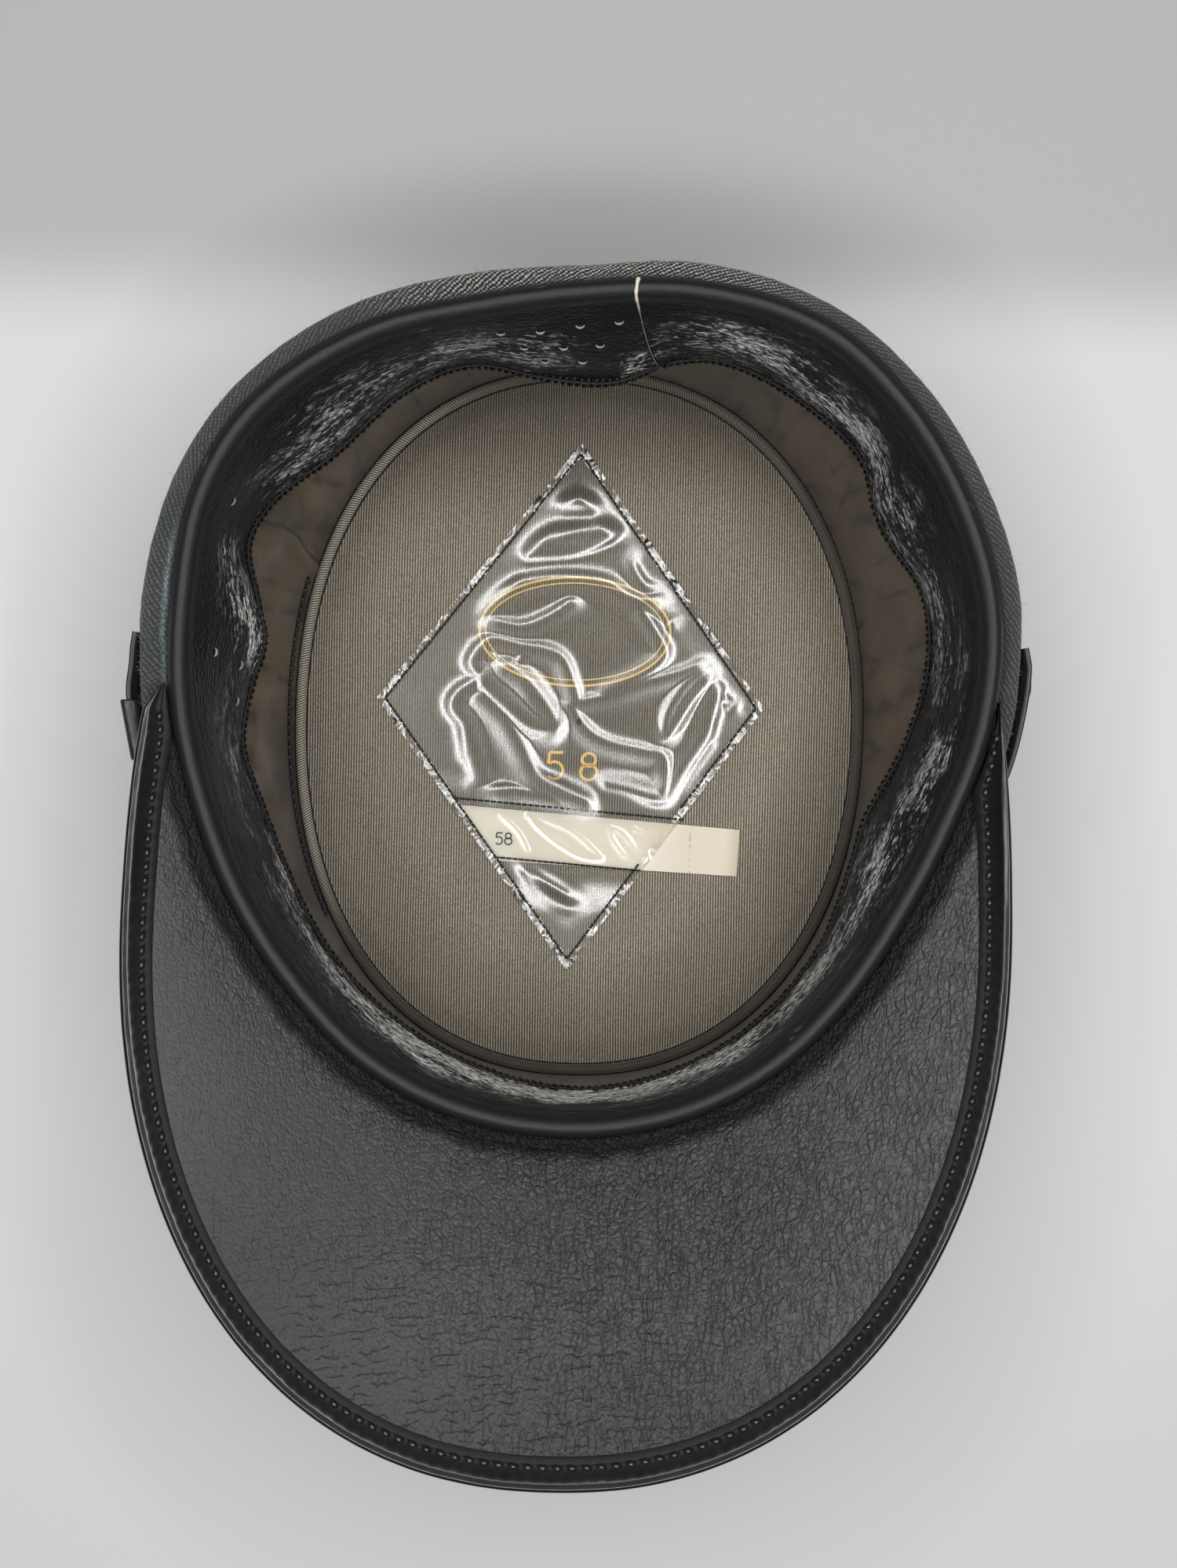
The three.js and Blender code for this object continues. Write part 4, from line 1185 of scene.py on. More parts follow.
def seam_edge():
    """A pale thread of raw leather that stands in the slit, thicker near the rim."""
    columns = band_columns()[SEAM_PLACES]
    share = np.clip(columns[:, 3] / SWEATBAND_DEPTH, 0, 1)
    points = band_surface(seam_bearing(share)[None], columns)[0]
    inwards = unit(points * (-1, -1, 0) + (0, 0, 40))
    points = points + inwards * 0.08
    # The low mask paints shade towards the lower end of the thread.
    low = smooth(share, 0.0, 0.22)
    radius = lerp(0.4, 0.15, low) * (1 + 0.45 * bumps(points, 1.5, 10))
    return tubes("seam_edge", points[None], (1.0, 0.1, 0), radius[None], 8, masks={"low": low})


piece(seam_edge(), RAW_EDGE, "sweatband_leather")


# Visor


def visor_inside(bearing):
    return roll_radius(bearing) + GAP


def visor_outside(bearing):
    bearing = np.asarray(bearing, float)
    dx = sin_of(bearing)
    dy = cos_of(bearing)
    low = np.zeros(bearing.shape)
    high = np.full(bearing.shape, 200.0)
    for _ in range(40):
        radius = (low + high) / 2
        forward = VISOR["y"] - radius * dy
        across = np.abs(radius * dx - VISOR["x"] + VISOR_SKEW * forward) / VISOR["half_width"]
        length = np.abs(forward) / VISOR["half_length"]
        power = np.where(forward > 0, VISOR_FRONT_POWER, VISOR_BACK_POWER)
        inside = across**power + length**power < 1
        low = np.where(inside, radius, low)
        high = np.where(inside, high, radius)
    from_end = np.maximum(0, np.minimum(bearing - VISOR_START, VISOR_END - bearing))
    taper = VISOR_END_WIDTH + VISOR_END_GROWTH * from_end
    return np.minimum(low, visor_inside(bearing) + taper)


def visor_height(bearing, radius):
    inside = visor_inside(bearing)
    outside = visor_outside(bearing)
    share = (radius - inside) / (outside - inside)
    y = outside * cos_of(bearing)
    tip = VISOR["y"] - VISOR["half_length"]
    edge = lerp(VISOR_SIDE_HEIGHT, VISOR_TIP_HEIGHT - BINDING_PROUD, y / tip)
    camber = VISOR_CAMBER * smooth(outside - inside, 4, 40) * 4 * share * (1 - share)
    return lerp(rim_height(bearing) - VISOR_BELOW_ROLL, edge, share) + camber


def slanted(bearing, width):
    step = 0.5
    here = visor_outside(bearing)
    rate = (visor_outside(bearing + step) - visor_outside(bearing - step)) / math.radians(2 * step)
    return width * np.hypot(1, rate / here)


def binding_inside(bearing):
    return np.maximum(visor_inside(bearing) + 0.2, visor_outside(bearing) - slanted(bearing, BINDING_WIDTH))


# Length of the visor's edge, near enough to space its points
VISOR_ROUND = 400
SHELL_TOP = -VISOR_LINING - GAP
SHELL_FOOT = SHELL_TOP - VISOR_SHELL
LINING_UNDER_BINDING = 1.2
SEAM_DIP = {"depth": 1.7, "flat": 1.9, "reach": 4.9}


def outline(bearing):
    return at(bearing, visor_outside(bearing), 90)


def visor_sheet(name, ends, outer, top, foot, runs, sinks):
    """A sheet of the visor that dips along the roll. sinks gives the dip's share on top and below."""
    bearing = spread(outline, *ends, VISOR_ROUND / runs)[:, None]
    inside = visor_inside(bearing)
    reach = np.minimum(8, 0.4 * (outer(bearing) - inside))
    near = inside + reach * np.linspace(0, 1, 20)[:-1]
    far = lerp(inside + reach, outer(bearing), np.linspace(0, 1, 54))
    radius = np.concatenate([near, far], 1)
    z = visor_height(bearing, radius)
    flat = at(bearing, radius, z)
    edge = 0.8 * bumps(flat, 6, 16) + 0.45 * bumps(flat, 1.9, 17)
    from_roll = radius - inside + edge
    dip = SEAM_DIP["depth"] * (1 - smooth(from_roll, SEAM_DIP["flat"], SEAM_DIP["reach"]))
    upper = at(bearing, radius, z + top - sinks[0] * dip)
    lower = at(bearing, radius, z + foot - sinks[1] * dip)
    x, y, _ = np.moveaxis(flat, -1, 0)
    grain = lerp(0.15, 1, smooth(x, -70, 40)) * (1 - 0.45 * smooth(-y, 115, 150))
    masks = {
        "grain": np.clip(grain + 0.5 * (1 - smooth(from_roll, 5, 14)), 0, 1),
        "cracks": 0.15 + 0.85 * smooth(-y, 100, 135) * between(x, -75, -45, 0, 50),
        # The seam mask marks the dip along the roll, which the leatherette darkens with painted shade.
        "seam": 1 - smooth(from_roll, SEAM_DIP["reach"] - 2.6, SEAM_DIP["reach"] - 0.2),
    }
    return sheet_grid(name, upper, lower, masks)


def face_outside(bearing):
    return binding_inside(bearing) + LINING_UNDER_BINDING


def gloss_outside(bearing):
    return visor_outside(bearing) - 1.6


FACE_ENDS = (VISOR_START + 10, VISOR_END - 7.5)
GLOSS_ENDS = (VISOR_START + 6.5, VISOR_END - 3.5)
visor_face = visor_sheet("visor_face", FACE_ENDS, face_outside, 0, 0.1 - VISOR_LINING, 420, (1, 0.88))
piece(visor_face, VISOR_GRAIN, "visor_leatherette", "visor_lining")
visor_gloss = visor_sheet(
    "visor_gloss", GLOSS_ENDS, gloss_outside, SHELL_TOP, SHELL_FOOT, 150, (0.75, 0.25)
)
piece(visor_gloss, PATENT, "patent_leather", "visor_shell")

# Binding section: distance in from the edge over a width of 7 mm, and height over the lining
BINDING_SECTION = [
    (7.0, 0.0), (6.95, 0.1), (6.3, 0.26), (5.6, 0.32), (4.9, 0.06), (4.2, 0.06), (3.5, 0.26), (2.8, 0.58),
    (2.1, 0.82), (1.5, 0.82), (0.6, 0.58), (0.0, -0.4), (0.0, -3.1), (0.4, -3.9), (1.4, -4.1), (4.6, -4.1),
    (5.0, -3.9), (4.9, -3.2), (1.5, -3.1), (1.4, -1.05), (5.4, -1.0), (5.6, -0.1), (6.3, 0.0),
]
BINDING_STEPS = [2, 2, 2, 3, 3, 3, 2, 2, 4, 4, 3, 2, 2, 2, 1, 1, 1, 1, 1, 1, 1, 1, 1]
STITCH_FROM_EDGE = 4.9
STITCH_PITCH = 3.2


def binding_points(bearing, columns):
    """Points of the binding. columns gives distance in from the edge and height."""
    bearing = bearing[:, None]
    outside = visor_outside(bearing)
    width = (outside - binding_inside(bearing)) / BINDING_WIDTH
    narrow = smooth(width * BINDING_WIDTH, 0.5, 6)
    radius = outside - columns[:, 0] * width
    tall = np.where(columns[:, 1] > -1.2, columns[:, 1] * lerp(0.6, 1, narrow), columns[:, 1])
    return at(bearing, radius, visor_height(bearing, radius) + tall)


binding_bearings = spread(outline, VISOR_START, VISOR_END, 0.5)
stitch_bearings = spread(outline, VISOR_START + 5, VISOR_END - 4.5, STITCH_PITCH)


def binding():
    columns = spline(BINDING_SECTION, BINDING_STEPS)
    points = binding_points(binding_bearings, columns)
    fine = np.linspace(VISOR_START, VISOR_END, 4000)
    walked = walk(outline(fine))
    here = np.interp(binding_bearings, fine, walked)
    start = np.interp(stitch_bearings[0], fine, walked)
    phase = (here - start) / STITCH_PITCH
    on = (phase > -0.5) & (phase < len(stitch_bearings) - 0.5)
    hole = 0.5 - 0.5 * np.cos(TAU * phase)
    inwards, height = columns.T
    top = height > 0
    groove = hump(inwards, STITCH_FROM_EDGE, 0.95) * top
    pucker = hump(inwards, 3.3, 0.8) * top
    sink = -0.26 * (on * hole)[:, None] * groove + 0.1 * (on * (1 - hole))[:, None] * pucker
    points[..., 2] += sink + 0.1 * bumps(points, 5, 11) * top
    channel = smooth(inwards, 2.4, 3.4) * top
    return grid("binding_leather", points, False, {"channel": channel}, 70)


piece(binding(), BINDING, "visor_binding", "visor_binding")

# Rise and radius along a lockstitch of the binding
STITCH_RISE = [-0.4, 0.05, 0.28, 0.4, 0.44, 0.4, 0.28, 0.05, -0.4]
STITCH_RADIUS = [0.26, 0.44, 0.56, 0.63, 0.65, 0.63, 0.56, 0.44, 0.26]


def binding_stitches():
    """Chunky lockstitches lying in the groove, each dipping into its holes at both ends."""
    arc = np.linspace(-0.5, 0.5, 9)
    paths = []
    column = np.array([[STITCH_FROM_EDGE, 0.15]])
    for spot, degrees in zip(stitch_bearings, np.gradient(stitch_bearings)):
        line = binding_points(spot + arc * degrees * 0.64, column)[:, 0]
        slant = rng.normal(0.0, 0.07) + 0.22
        sideways = np.cross(unit(line[-1] - line[0]), UP)
        line = line + np.outer(arc * 2 * slant, sideways)
        line[:, 2] += STITCH_RISE
        paths.append(line)
    return tubes("binding_stitches", paths, UP, STITCH_RADIUS, 8)


piece(binding_stitches(), WAXED, "visor_binding")


# Chin strap, slider and studs


def strap_inside(bearing, z):
    return outside_radius(bearing, z) + standoff(bearing)


def strap_middle(bearing):
    return rim_height(bearing) - STRAP_BELOW_RIM - STRAP_WIDTH / 2


def rounded_box(half_wide, half_tall, radius, steps=4):
    """Outline of a rectangle with round corners, as pairs."""
    pairs = []
    for quarter, (right, up) in enumerate(((1, 1), (-1, 1), (-1, -1), (1, -1))):
        for k in range(steps + 1):
            angle = math.radians(90 * quarter + 90 * k / steps)
            x = right * (half_wide - radius) + radius * math.cos(angle)
            pairs.append((x, up * (half_tall - radius) + radius * math.sin(angle)))
    return np.array(pairs)


def strap():
    bearing = np.linspace(STRAP_START, STRAP_END, 420)[:, None]
    out, rise = rounded_box(STRAP_THICKNESS / 2, STRAP_WIDTH / 2, 0.45).T
    z = strap_middle(bearing) + rise
    radius = strap_inside(bearing, z) + STRAP_THICKNESS / 2 + out
    return grid("strap_band", at(bearing, radius, z), sharp=60)


piece(strap(), STRAP, "strap_leather", "chin_strap")


def slider():
    """A flat loop round the strap: runs go round the strap, places round the loop's section."""
    clear = GAP + SLIDER_WALL / 2
    loop = rounded_box(STRAP_THICKNESS / 2 + clear, STRAP_WIDTH / 2 + clear, 0.8, 6)
    tangent = unit(slope(loop, 0, True))
    out = np.stack([tangent[:, 1], -tangent[:, 0]], 1)
    half = (SLIDER_END - SLIDER_START) / 2
    section = rounded_box(SLIDER_WALL / 2, half, 0.32, 3)
    bearing = SLIDER_START + half + section[:, 1]
    wide, tall = (loop[:, k, None] + out[:, k, None] * section[:, 0] for k in (0, 1))
    z = strap_middle(bearing) + tall
    radius = strap_inside(bearing, z) + STRAP_THICKNESS / 2 + wide
    return grid("slider_loop", at(bearing, radius, z), True, sharp=60)


piece(slider(), STRAP, "strap_leather", "strap_slider")

# Profile of a stud's head: radius, and height over the strap
STUD_PROFILE = [
    (0.05, -0.2), (3.9, -0.1), (STUD_HEAD_RADIUS - 0.1, GAP), (STUD_HEAD_RADIUS, 0.6), (4.2, 0.95),
    (3.6, 1.0), (3.2, 0.85), (2.6, 1.15), (1.4, 1.55), (0.05, GAP + STUD_HEAD_HEIGHT),
]


def stud(side, bearing):
    z = strap_middle(bearing)
    lean = (outside_radius(bearing, z + 1) - outside_radius(bearing, z - 1)) / 2
    place = at(bearing, strap_inside(bearing, z), z)
    profile = [(radius, STRAP_THICKNESS + height) for radius, height in STUD_PROFILE]
    mesh = turned("stud_" + side, place, at(bearing, 1, -lean), profile, 40)
    piece(mesh, METAL, "stud", "side_stud_" + side)


for stud_side, stud_bearing in STUD_BEARINGS.items():
    stud(stud_side, stud_bearing)


# Plastic diamond and card on the crown lining


def corner_grid(corners, columns, rows):
    u = np.linspace(0, 1, columns)[:, None, None]
    v = np.linspace(0, 1, rows)[None, :, None]
    a, b, c, d = np.array(corners, float)
    return lerp(lerp(a, b, u), lerp(d, c, u), v)


# Blisters of the film: x, y, half length, half width, turn in degrees, steepness
BLISTERS = [
    (-1.9, 57.9, 8.5, 3.0, -5, 0.42), (0, 49.5, 17, 3.6, 13, 0.36), (-4.2, -44.2, 14, 2.4, -30, 0.36),
]

# Creases of the film: size, and plan points
CREASES = [
    (1.3, [(-25.5, 30), (-20.5, 34), (-13.5, 36.5), (-4, 37.5), (6, 36.5), (12, 33), (18, 32), (27.5, 36)]),
    (1.2, [(-27, 18.5), (-23.5, 21), (-15.5, 19.5), (-9, 18.5), (-4.5, 16), (-2, 10), (-0.5, 5)]),
    (1.1, [(-0.5, 5), (8, 7), (17, 10.5), (28, 14), (34.5, 17.5)]),
    (1.4, [(-29, -9.5), (-30, -1.5), (-33, 3), (-31.5, 7), (-26, 11), (-28.5, 15), (-27, 18.5)]),
    (1.2, [(-28.5, -18), (-27, -15), (-29, -9.5)]),
    (1.0, [(-28.5, -18), (-23, -18.5), (-16, -18), (-8.5, -19.5), (-1.5, -21.5)]),
    (1.9, [(-19, 13.5), (-13.5, 9.5), (-8.5, 3), (-6.5, -1.5), (-12.5, -1), (-17.5, 2.5), (-25, 9.5)]),
    (1.5, [(-25.5, 6), (-20, 1), (-15.5, -6), (-11, -14), (-4, -18), (2, -21)]),
    (1.2, [(-2, 4), (2, -2), (8, -5.5), (17.5, -7.5), (22.5, -9), (23, -17.5)]),
    (1.2, [(22.5, -2.5), (23.5, 3.5), (27, 9.5), (31.5, 13.5), (37, 16), (30, 7.5), (26, 1), (23.5, -3)]),
    (1.2, [(36.5, 9.5), (34.5, 1.5), (33.5, -3.5), (29, -11), (25.5, -18), (23, -20), (13, -17), (8, -16)]),
    (0.9, [(35, -6), (30.5, -13), (28, -18)]),
    (0.9, [(16.5, 45.5), (13.5, 42), (16.5, 36.5), (21.5, 36)]),
    (1.1, [(15, 30.5), (19.5, 24), (22, 18), (17, 13), (7.5, 7.5)]),
    (0.7, [(23.5, 32.5), (21.5, 29.5), (29, 31)]),
    (0.7, [(24, 26.5), (27.5, 28.5), (31.5, 27.5)]),
    (0.6, [(37, 8), (38, 5.5), (40.5, 6.5), (38.5, 8.5)]),
    (0.6, [(42, 6.5), (41.5, 3.5), (45, 2.5), (45.5, 5.5)]),
    (0.9, [(-13.5, -40), (-9, -48), (-2.5, -51), (6.5, -49)]),
    (0.7, [(-8.5, -48), (-5.5, -55), (-1.5, -61)]),
    (1.0, [(-23.5, 17), (-19, 11.5), (-15.5, 16.5)]),
    (1.1, [(-24, 26), (-16, 24.5), (-9, 27), (-3, 31)]),
    (0.8, [(12, 52.5), (6, 47.5), (-3, 44), (-14, 43)]),
    (0.4, [(-12.8, -24.5), (-8, -25.5), (-1, -28.5), (5, -33.5), (6.5, -35.8), (1, -35.2), (-5, -32)]),
    (0.4, [(-5, -32), (-10, -28), (-12.8, -24.5)]),
    (0.4, [(8.8, -27.4), (12, -28.5), (15, -32), (18.6, -37)]),
    (0.35, [(8.8, -27.4), (10, -31), (13.5, -35), (18.6, -37)]),
    (0.35, [(15, -27.5), (20, -29), (26, -28.5)]),
    (0.35, [(-19.5, -25), (-15, -29), (-12.5, -33.5)]),
]
CREASE_HEIGHT = 0.5
CREASE_STEEP = 1.75
CREASE_SHALLOW = 3.2


def crease_heights(x, y, path, size):
    """Height of a ridge along a path, steep on its left and shallow on its right."""
    spots = np.stack([x, y], -1)[..., None, :]
    starts = path[:-1]
    ways = path[1:] - starts
    share = np.clip(((spots - starts) * ways).sum(-1) / (ways**2).sum(-1), 0, 1)
    gap = spots - starts - share[..., None] * ways
    distance = np.sqrt((gap**2).sum(-1))
    cross = ways[:, 0] * gap[..., 1] - ways[:, 1] * gap[..., 0]
    side = cross / (np.linalg.norm(ways, axis=1) * np.maximum(distance, 1e-6))
    width = size * lerp(CREASE_SHALLOW, CREASE_STEEP, smooth(side, -0.9, 0.9))
    return size * CREASE_HEIGHT * hump(distance, 0, width).max(-1)


def way_of(degrees):
    return math.cos(math.radians(degrees)), math.sin(math.radians(degrees))


def film_relief(x, y):
    height = np.zeros(x.shape)
    for size, crease in CREASES:
        path = spline(crease, [6] * (len(crease) - 1), loop=False)
        height = np.maximum(height, crease_heights(x, y, path, size))
    for cx, cy, long, wide, turn, steep in BLISTERS:
        c, s = way_of(turn)
        a = ((x - cx) * c + (y - cy) * s) / long
        b = ((y - cy) * c - (x - cx) * s) / wide
        height = height + steep * wide * np.exp(-(a * a + b * b))
    return height


STITCH_INSET = 1.9


def edge_distance(x, y):
    """Distance inside the diamond's nearest edge."""
    corners = np.array(SHIELD, float)
    ways = unit(np.roll(corners, -1, 0) - corners)
    gaps = [np.abs((x - a[0]) * way[1] - (y - a[1]) * way[0]) for a, way in zip(corners, ways)]
    return np.min(gaps, 0)


def shield_foot(x, y):
    off = np.abs(y - CARD_POCKET["y"]) / CARD_POCKET["half_depth"]
    pocket = (CARD_THICKNESS + GAP) * (1 - smooth(off, 0.7, 1.4))
    return crown_lining_top(x, y) + GAP + pocket


def over_plan(surface, plan, lift):
    """Plan points raised onto a surface, or to a height over it."""
    return raised(plan, surface(plan[..., 0], plan[..., 1]) + lift)


FILM_THICKNESS = 0.3
CARD_SHEET = 0.32


def shield():
    plan = corner_grid(SHIELD, 208, 208)
    x, y = np.moveaxis(plan, -1, 0)
    inset = edge_distance(x, y)
    flat = raised(plan, np.zeros(x.shape))
    plain = np.maximum(smooth(-x, 10, 32), smooth(-y, 36, 52))
    inner = smooth(inset, STITCH_INSET, STITCH_INSET + lerp(7, 15, plain))
    vary = 1 + 0.12 * bumps(flat, (9, 9, 10), 18)
    ripples = film_relief(x, y) * vary + 0.12 * bumps(flat, (13, 10, 10), 12)
    cut_close = smooth(x, 2, 8) * (1 - smooth(y, -40, -32))
    clumps = smooth(bumps(flat, 8, 19), -0.25, 0.35) * (1 - cut_close)
    margin = 1 - smooth(inset, STITCH_INSET - 0.6, STITCH_INSET)
    crinkle = np.abs(bumps(flat, (2.6, 2.6, 2), 14)) * margin * lerp(0.4, 1.4, clumps)
    foot = shield_foot(x, y) + (ripples + 0.1) * inner + crinkle
    top = raised(plan, foot + FILM_THICKNESS)
    # The margin's white is partly its own whitening and partly painted highlights of its crumpled facets.
    return sheet_grid("film", top, raised(plan, foot), {"crushed_white_and_glint": margin * clumps})


piece(shield(), FILM, "clear_plastic", "sweat_shield")


def card():
    plan = corner_grid(CARD, 60, 14)
    x, y = np.moveaxis(plan, -1, 0)
    foot = crown_lining_top(x, y) + GAP + 0.25 * smooth(x, 30, 43)
    return sheet_grid("card_strip", raised(plan, foot + CARD_SHEET), raised(plan, foot))


piece(card(), CARD_STOCK, "card", "name_card")


FILM_STITCH_PITCH = 1.6
FILM_STITCH_LIFT = 0.42
FILM_THREAD = 0.27


def film_stitches(runs):
    """Running stitches along straight runs of plan points over the film."""
    arc = np.linspace(-0.5, 0.5, 6)
    rise = np.array([-0.25, 0.12, 0.2, 0.2, 0.12, -0.25])
    paths = []
    for run in runs:
        start, end = np.array(run, float)
        count = int(np.linalg.norm(end - start) / FILM_STITCH_PITCH)
        for k in range(count):
            share = (k + 0.5 + arc * 0.72) / count
            plan = start + (end - start) * share[:, None]
            paths.append(over_plan(shield_foot, plan, FILM_STITCH_LIFT + rise))
    return tubes("film_stitches", paths, UP, FILM_THREAD, 5)


def inset_corners(inset):
    corners = np.array(SHIELD, float)
    ahead = unit(np.roll(corners, -1, 0) - corners)
    back = -np.roll(ahead, 1, 0)
    sine = np.abs(ahead[:, 0] * back[:, 1] - ahead[:, 1] * back[:, 0])[:, None]
    return corners + (ahead + back) * inset / sine


back_corner, right_corner, front_corner, left_corner = inset_corners(1.8)
shield_runs = [
    (front_corner, left_corner),
    (left_corner, back_corner),
    (back_corner, right_corner),
    (right_corner, lerp(right_corner, front_corner, 0.4)),
    (lerp(right_corner, front_corner, 0.62), front_corner),
    ((-32.5, -20.6), (28, -25)),
    ((-21.5, -35.8), (17, -38.5)),
]
piece(film_stitches(shield_runs), BLACK_THREAD, "clear_plastic")


# Plain gold print under the film: an oval frame and the head size


def ribbon(name, points, width, closed, surface):
    """A flat strip on a surface along plan points."""
    ahead = unit(slope(points, 0, closed))
    side = np.stack([-ahead[:, 1], ahead[:, 0]], 1) * width / 2
    corners = ((1, 0.16), (-1, 0.16), (-1, 0.1), (1, 0.1))
    rows = [over_plan(surface, points + side * shift, lift) for shift, lift in corners]
    return grid(name, np.stack(rows, 1), closed)


def arc_points(cx, cy, rx, ry, start, end, steps):
    angle = np.radians(np.linspace(start, end, steps))
    return np.stack([cx + rx * np.cos(angle), cy + ry * np.sin(angle)], 1)


def ring_points(cx, cy, rx, ry, steps):
    return arc_points(cx, cy, rx, ry, 0, 360, steps + 1)[:-1]


def number(name, cx, cy, height, apart, width, finish, slot, surface):
    """The digits 5 and 8, one piece to a stroke."""
    size = height / 7
    five = cx - apart / 2
    eight = cx + apart / 2
    line = np.array([(five + u * size, cy + v * size) for u, v in ((2.1, 3.5), (-1.5, 3.5), (-1.75, 0.5))])
    strokes = [
        (line[:2], False),
        (line[1:], False),
        (arc_points(five - 0.2 * size, cy - 1.2 * size, 2.2 * size, 2.25 * size, 128, -140, 26), False),
        (ring_points(eight, cy + 1.75 * size, 1.75 * size, 1.7 * size, 32), True),
        (ring_points(eight, cy - 1.55 * size, 2.15 * size, 2.0 * size, 32), True),
    ]
    for k, (stroke, closed) in enumerate(strokes):
        piece(ribbon("%s_%d" % (name, k + 1), stroke, width, closed, surface), finish, slot)


def card_top(x, y):
    return crown_lining_top(x, y) + GAP + 0.2


number("size_print", -1.6, -11.6, 7, 8.8, 0.75, GOLD, "crown_lining", crown_lining_top)
number("card_print", -19, -31, 3, 2.4, 0.42, PRINT_INK, "card", card_top)
PRINT_MIDDLE = (-1.6, 23.6)
for k, (half_width, half_height, width) in enumerate(((25, 14.2, 0.6), (23.4, 12.7, 0.35))):
    oval = ring_points(*PRINT_MIDDLE, half_width, half_height, 120)
    piece(ribbon("print_oval_%d" % (k + 1), oval, width, True, crown_lining_top), GOLD, "crown_lining")


# Stitches at the foot of the side lining, on the left

FOOT_STITCH_HEIGHT = 8.5


def foot_seam(bearing):
    radius = inside_radius(bearing, FOOT_STITCH_HEIGHT) - LINING_GAP - LINING_WALL - 0.15
    return at(bearing, radius, FOOT_STITCH_HEIGHT)


def piping_stitches():
    spots = spread(foot_seam, 232, 296, 2.6)
    arc = np.linspace(-0.5, 0.5, 6)
    rise = np.array([-0.3, 0.15, 0.3, 0.3, 0.15, -0.3])
    paths = []
    for spot, degrees in zip(spots, np.gradient(spots)):
        bearing = spot + arc * degrees * 0.8
        paths.append(foot_seam(bearing) - at(bearing, rise, 0))
    return tubes("piping_stitches", paths, UP, [0.36, 0.55, 0.64, 0.64, 0.55, 0.36])


piece(piping_stitches(), BLACK_THREAD, "piping")


# Pulled threads on the crown lining: middle, length, turn in degrees
PULLED_THREADS = [(-24.2, 55.3, 6, 2), (-22.5, 54.7, 5, -3), (-15.5, -55.2, 6, 4), (-18.5, -55.9, 7, -2)]


def pulled_threads():
    step = np.linspace(-0.5, 0.5, 9)
    paths = []
    for x, y, long, turn in PULLED_THREADS:
        plan = (x, y) + np.outer(step * long, way_of(turn))
        paths.append(over_plan(crown_lining_top, plan, 0.3 + 0.1 * np.sin(step * 20)))
    return tubes("pulled_threads", paths, UP, 0.13, 5)


piece(pulled_threads(), plain_thread("PaleThread", (0.4, 0.35, 0.26)), "crown_lining")


def gold_thread():
    """A tiny end of thread that stands on the lining beside the film."""
    plan = spline([(-14.9, 54.6), (-14.5, 53.7), (-14.7, 52.9), (-14.2, 52)], [3, 3, 3], loop=False)
    return tubes("gold_thread", over_plan(crown_lining_top, plan, 0.8)[None], UP, 0.16, 5)


piece(gold_thread(), plain_thread("GoldThread", (0.5, 0.27, 0.09)), "crown_lining")


# Fibres that stand off the cloth's edge

FIBRE_COUNT = 1300
FIBRE_RADIUS = 0.028


def fibres():
    bearing = rng.uniform(0, 360, FIBRE_COUNT)
    drop = np.abs(rng.normal(0, 2.2, FIBRE_COUNT))
    z = hem_top(bearing) - 1.2 - drop
    radius = np.where(drop < 2, cloth_radius(bearing) - 0.2, outside_radius(bearing, z))
    root = at(bearing, radius - 0.1, z)
    out = at(bearing, 1, 0) + rng.normal(0, 0.75, (FIBRE_COUNT, 3))
    bend = rng.normal(0, 0.5, (FIBRE_COUNT, 3))
    size = rng.uniform(0.25, 0.8, FIBRE_COUNT)[:, None]
    paths = [root + out * size * t + bend * size * t * t for t in (0, 0.35, 0.7, 1)]
    return tubes("cloth_fibres", np.stack(paths, 1), (0.1, 0.2, 1.0), FIBRE_RADIUS, 3)


piece(fibres(), plain_thread("ClothFibre", (0.3, 0.33, 0.31), 0.9), "cloth")


# Floor and light

FLOOR_HALF = 3


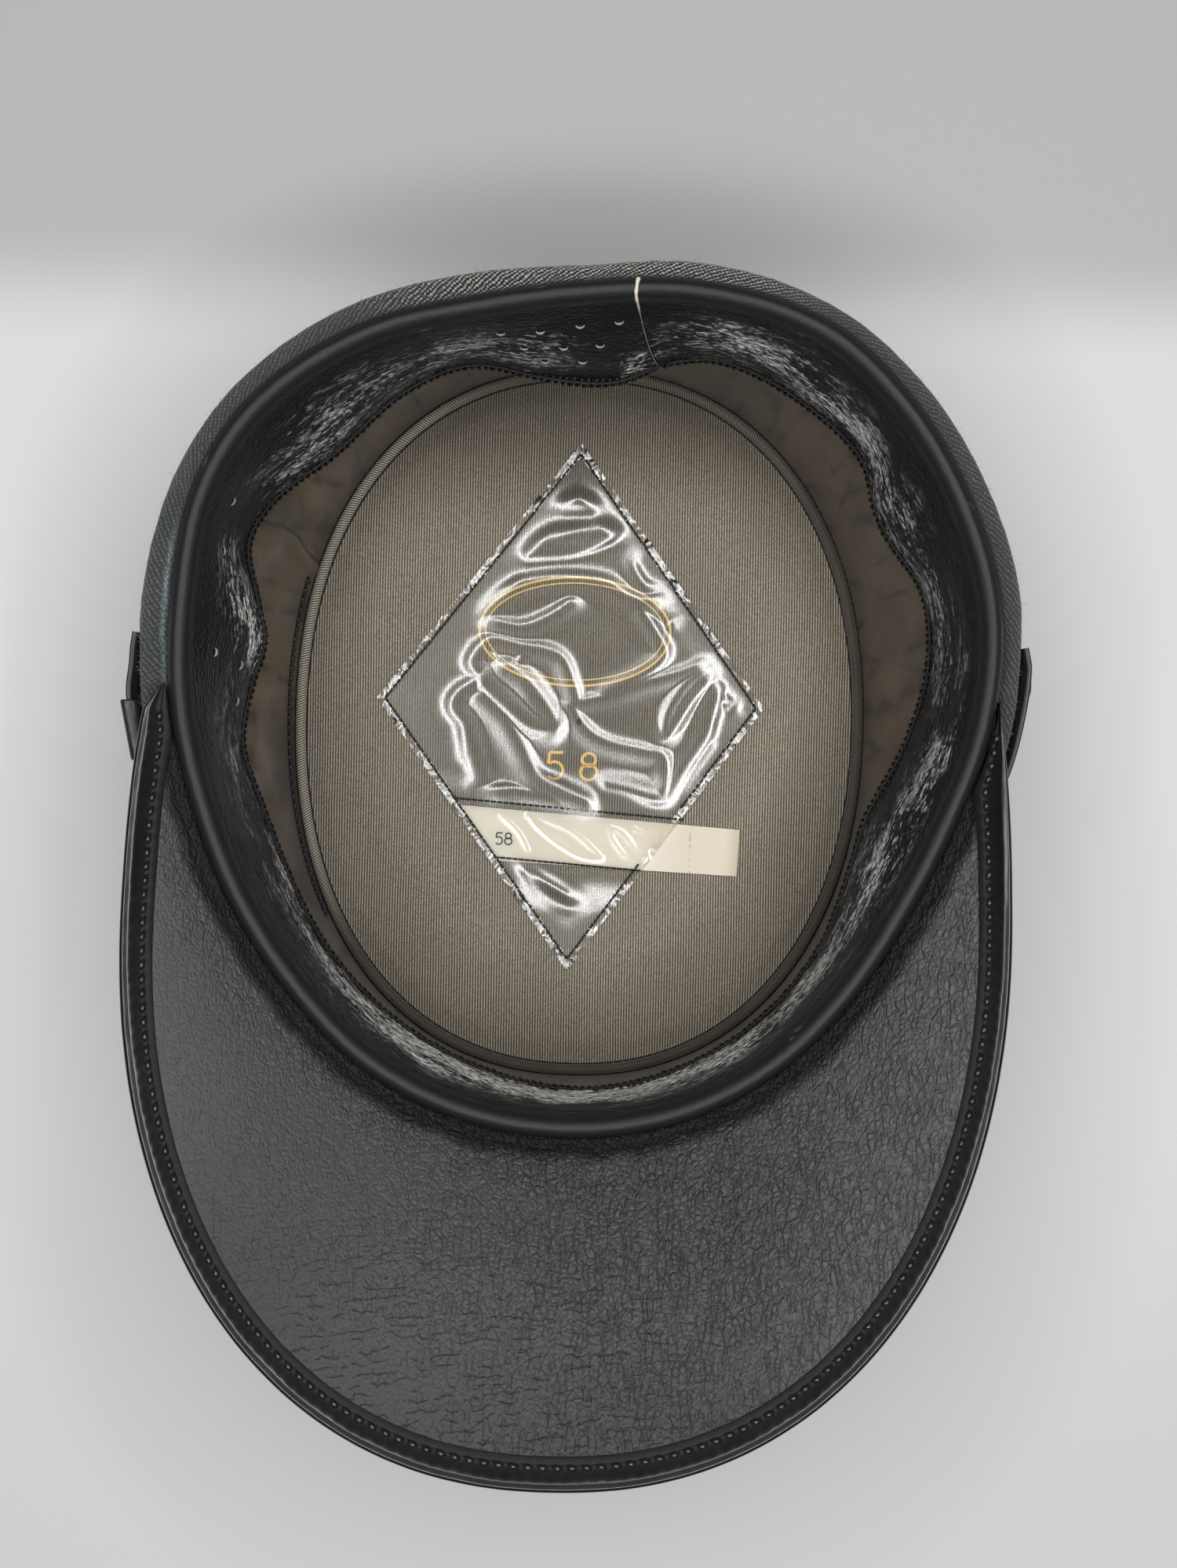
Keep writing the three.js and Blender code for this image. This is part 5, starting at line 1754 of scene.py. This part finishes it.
def paper():
    """Pale paper with painted shade: greyer behind the cap, with a painted shadow of the cap there, and a
    little greyer at the front.
    """
    f = Finish("Paper", Roughness=0.85, Specular_IOR_Level=0.2)
    y = f.axis("Y")
    spot = f.scaled(f.vector("SUBTRACT", f.place, (0.005, 0.128, 0.0)), 10.0, 42.0)
    away = f.vector("LENGTH", spot, (0.0, 0.0, 0.0), "Value")
    # Painted shade behind the cap and at the front, and the cap's painted shadow in the oval.
    colour = f.over(
        f.mix(f.range(y, 0.096, 0.13), (0.55, 0.545, 0.537), (0.375, 0.368, 0.358)),
        (f.range(y, -0.2, -0.08, 0.8, 0.0), (0.48, 0.475, 0.467)),
        (f.range(away, 0.2, 1.1, 0.6, 0.0), (0.25, 0.245, 0.24)),
    )
    return f.shade(Base_Color=colour)


floor = bpy.data.meshes.new("floor")
corners = [(-FLOOR_HALF, -FLOOR_HALF, 0), (FLOOR_HALF, -FLOOR_HALF, 0), (FLOOR_HALF, FLOOR_HALF, 0)]
floor.from_pydata(corners + [(-FLOOR_HALF, FLOOR_HALF, 0)], [], [(0, 1, 2, 3)])
floor.materials.append(paper())
add("floor", floor)


def area_light(name, place, target, size, radiance):
    """A rectangular light of a given brightness, whatever its size."""
    data = bpy.data.lights.new(name, "AREA")
    data.shape = "RECTANGLE"
    data.size, data.size_y = size
    data.energy = radiance * math.pi * size[0] * size[1]
    obj = add(name, data)
    obj.location = place
    obj.rotation_euler = (Vector(target) - Vector(place)).to_track_quat("-Z", "Y").to_euler()
    return obj


area_light("Top", (0, 0.05, 1.3), (0, 0, 0), (1.0, 0.8), 3.3).visible_glossy = False
RING_RADIUS = 0.34
RING_HEIGHT = 0.8
RING = [(0, 7), (45, 13), (90, 18), (135, 14), (180, 11), (225, 12), (270, 14), (315, 11)]
for ring_bearing, ring_level in RING:
    spot = at(ring_bearing, RING_RADIUS, RING_HEIGHT)
    area_light("Ring%d" % ring_bearing, spot, (0, 0, 0.05), (0.28, 0.065), ring_level)

world = bpy.data.worlds.new("World")
bpy.context.scene.world = world
world.use_nodes = True
world.cycles_visibility.glossy = False
backdrop = world.node_tree.nodes["Background"].inputs
backdrop["Color"].default_value = (0.95, 0.97, 1, 1)
backdrop["Strength"].default_value = 0.3
bpy.context.scene.view_settings.view_transform = "Standard"

# The size the crown lining was cut to. The crown lining is an oval in its rectangle.
CROWN_CUT = tuple(
    2 * (half + CROWN_LINING_MARGIN) * MM for half in (LINING_HALF_WIDTH, LINING_HALF_LENGTH)
)
OVAL_SHARE = 0.8155
OVAL_SHARE * CROWN_CUT[0] * CROWN_CUT[1]
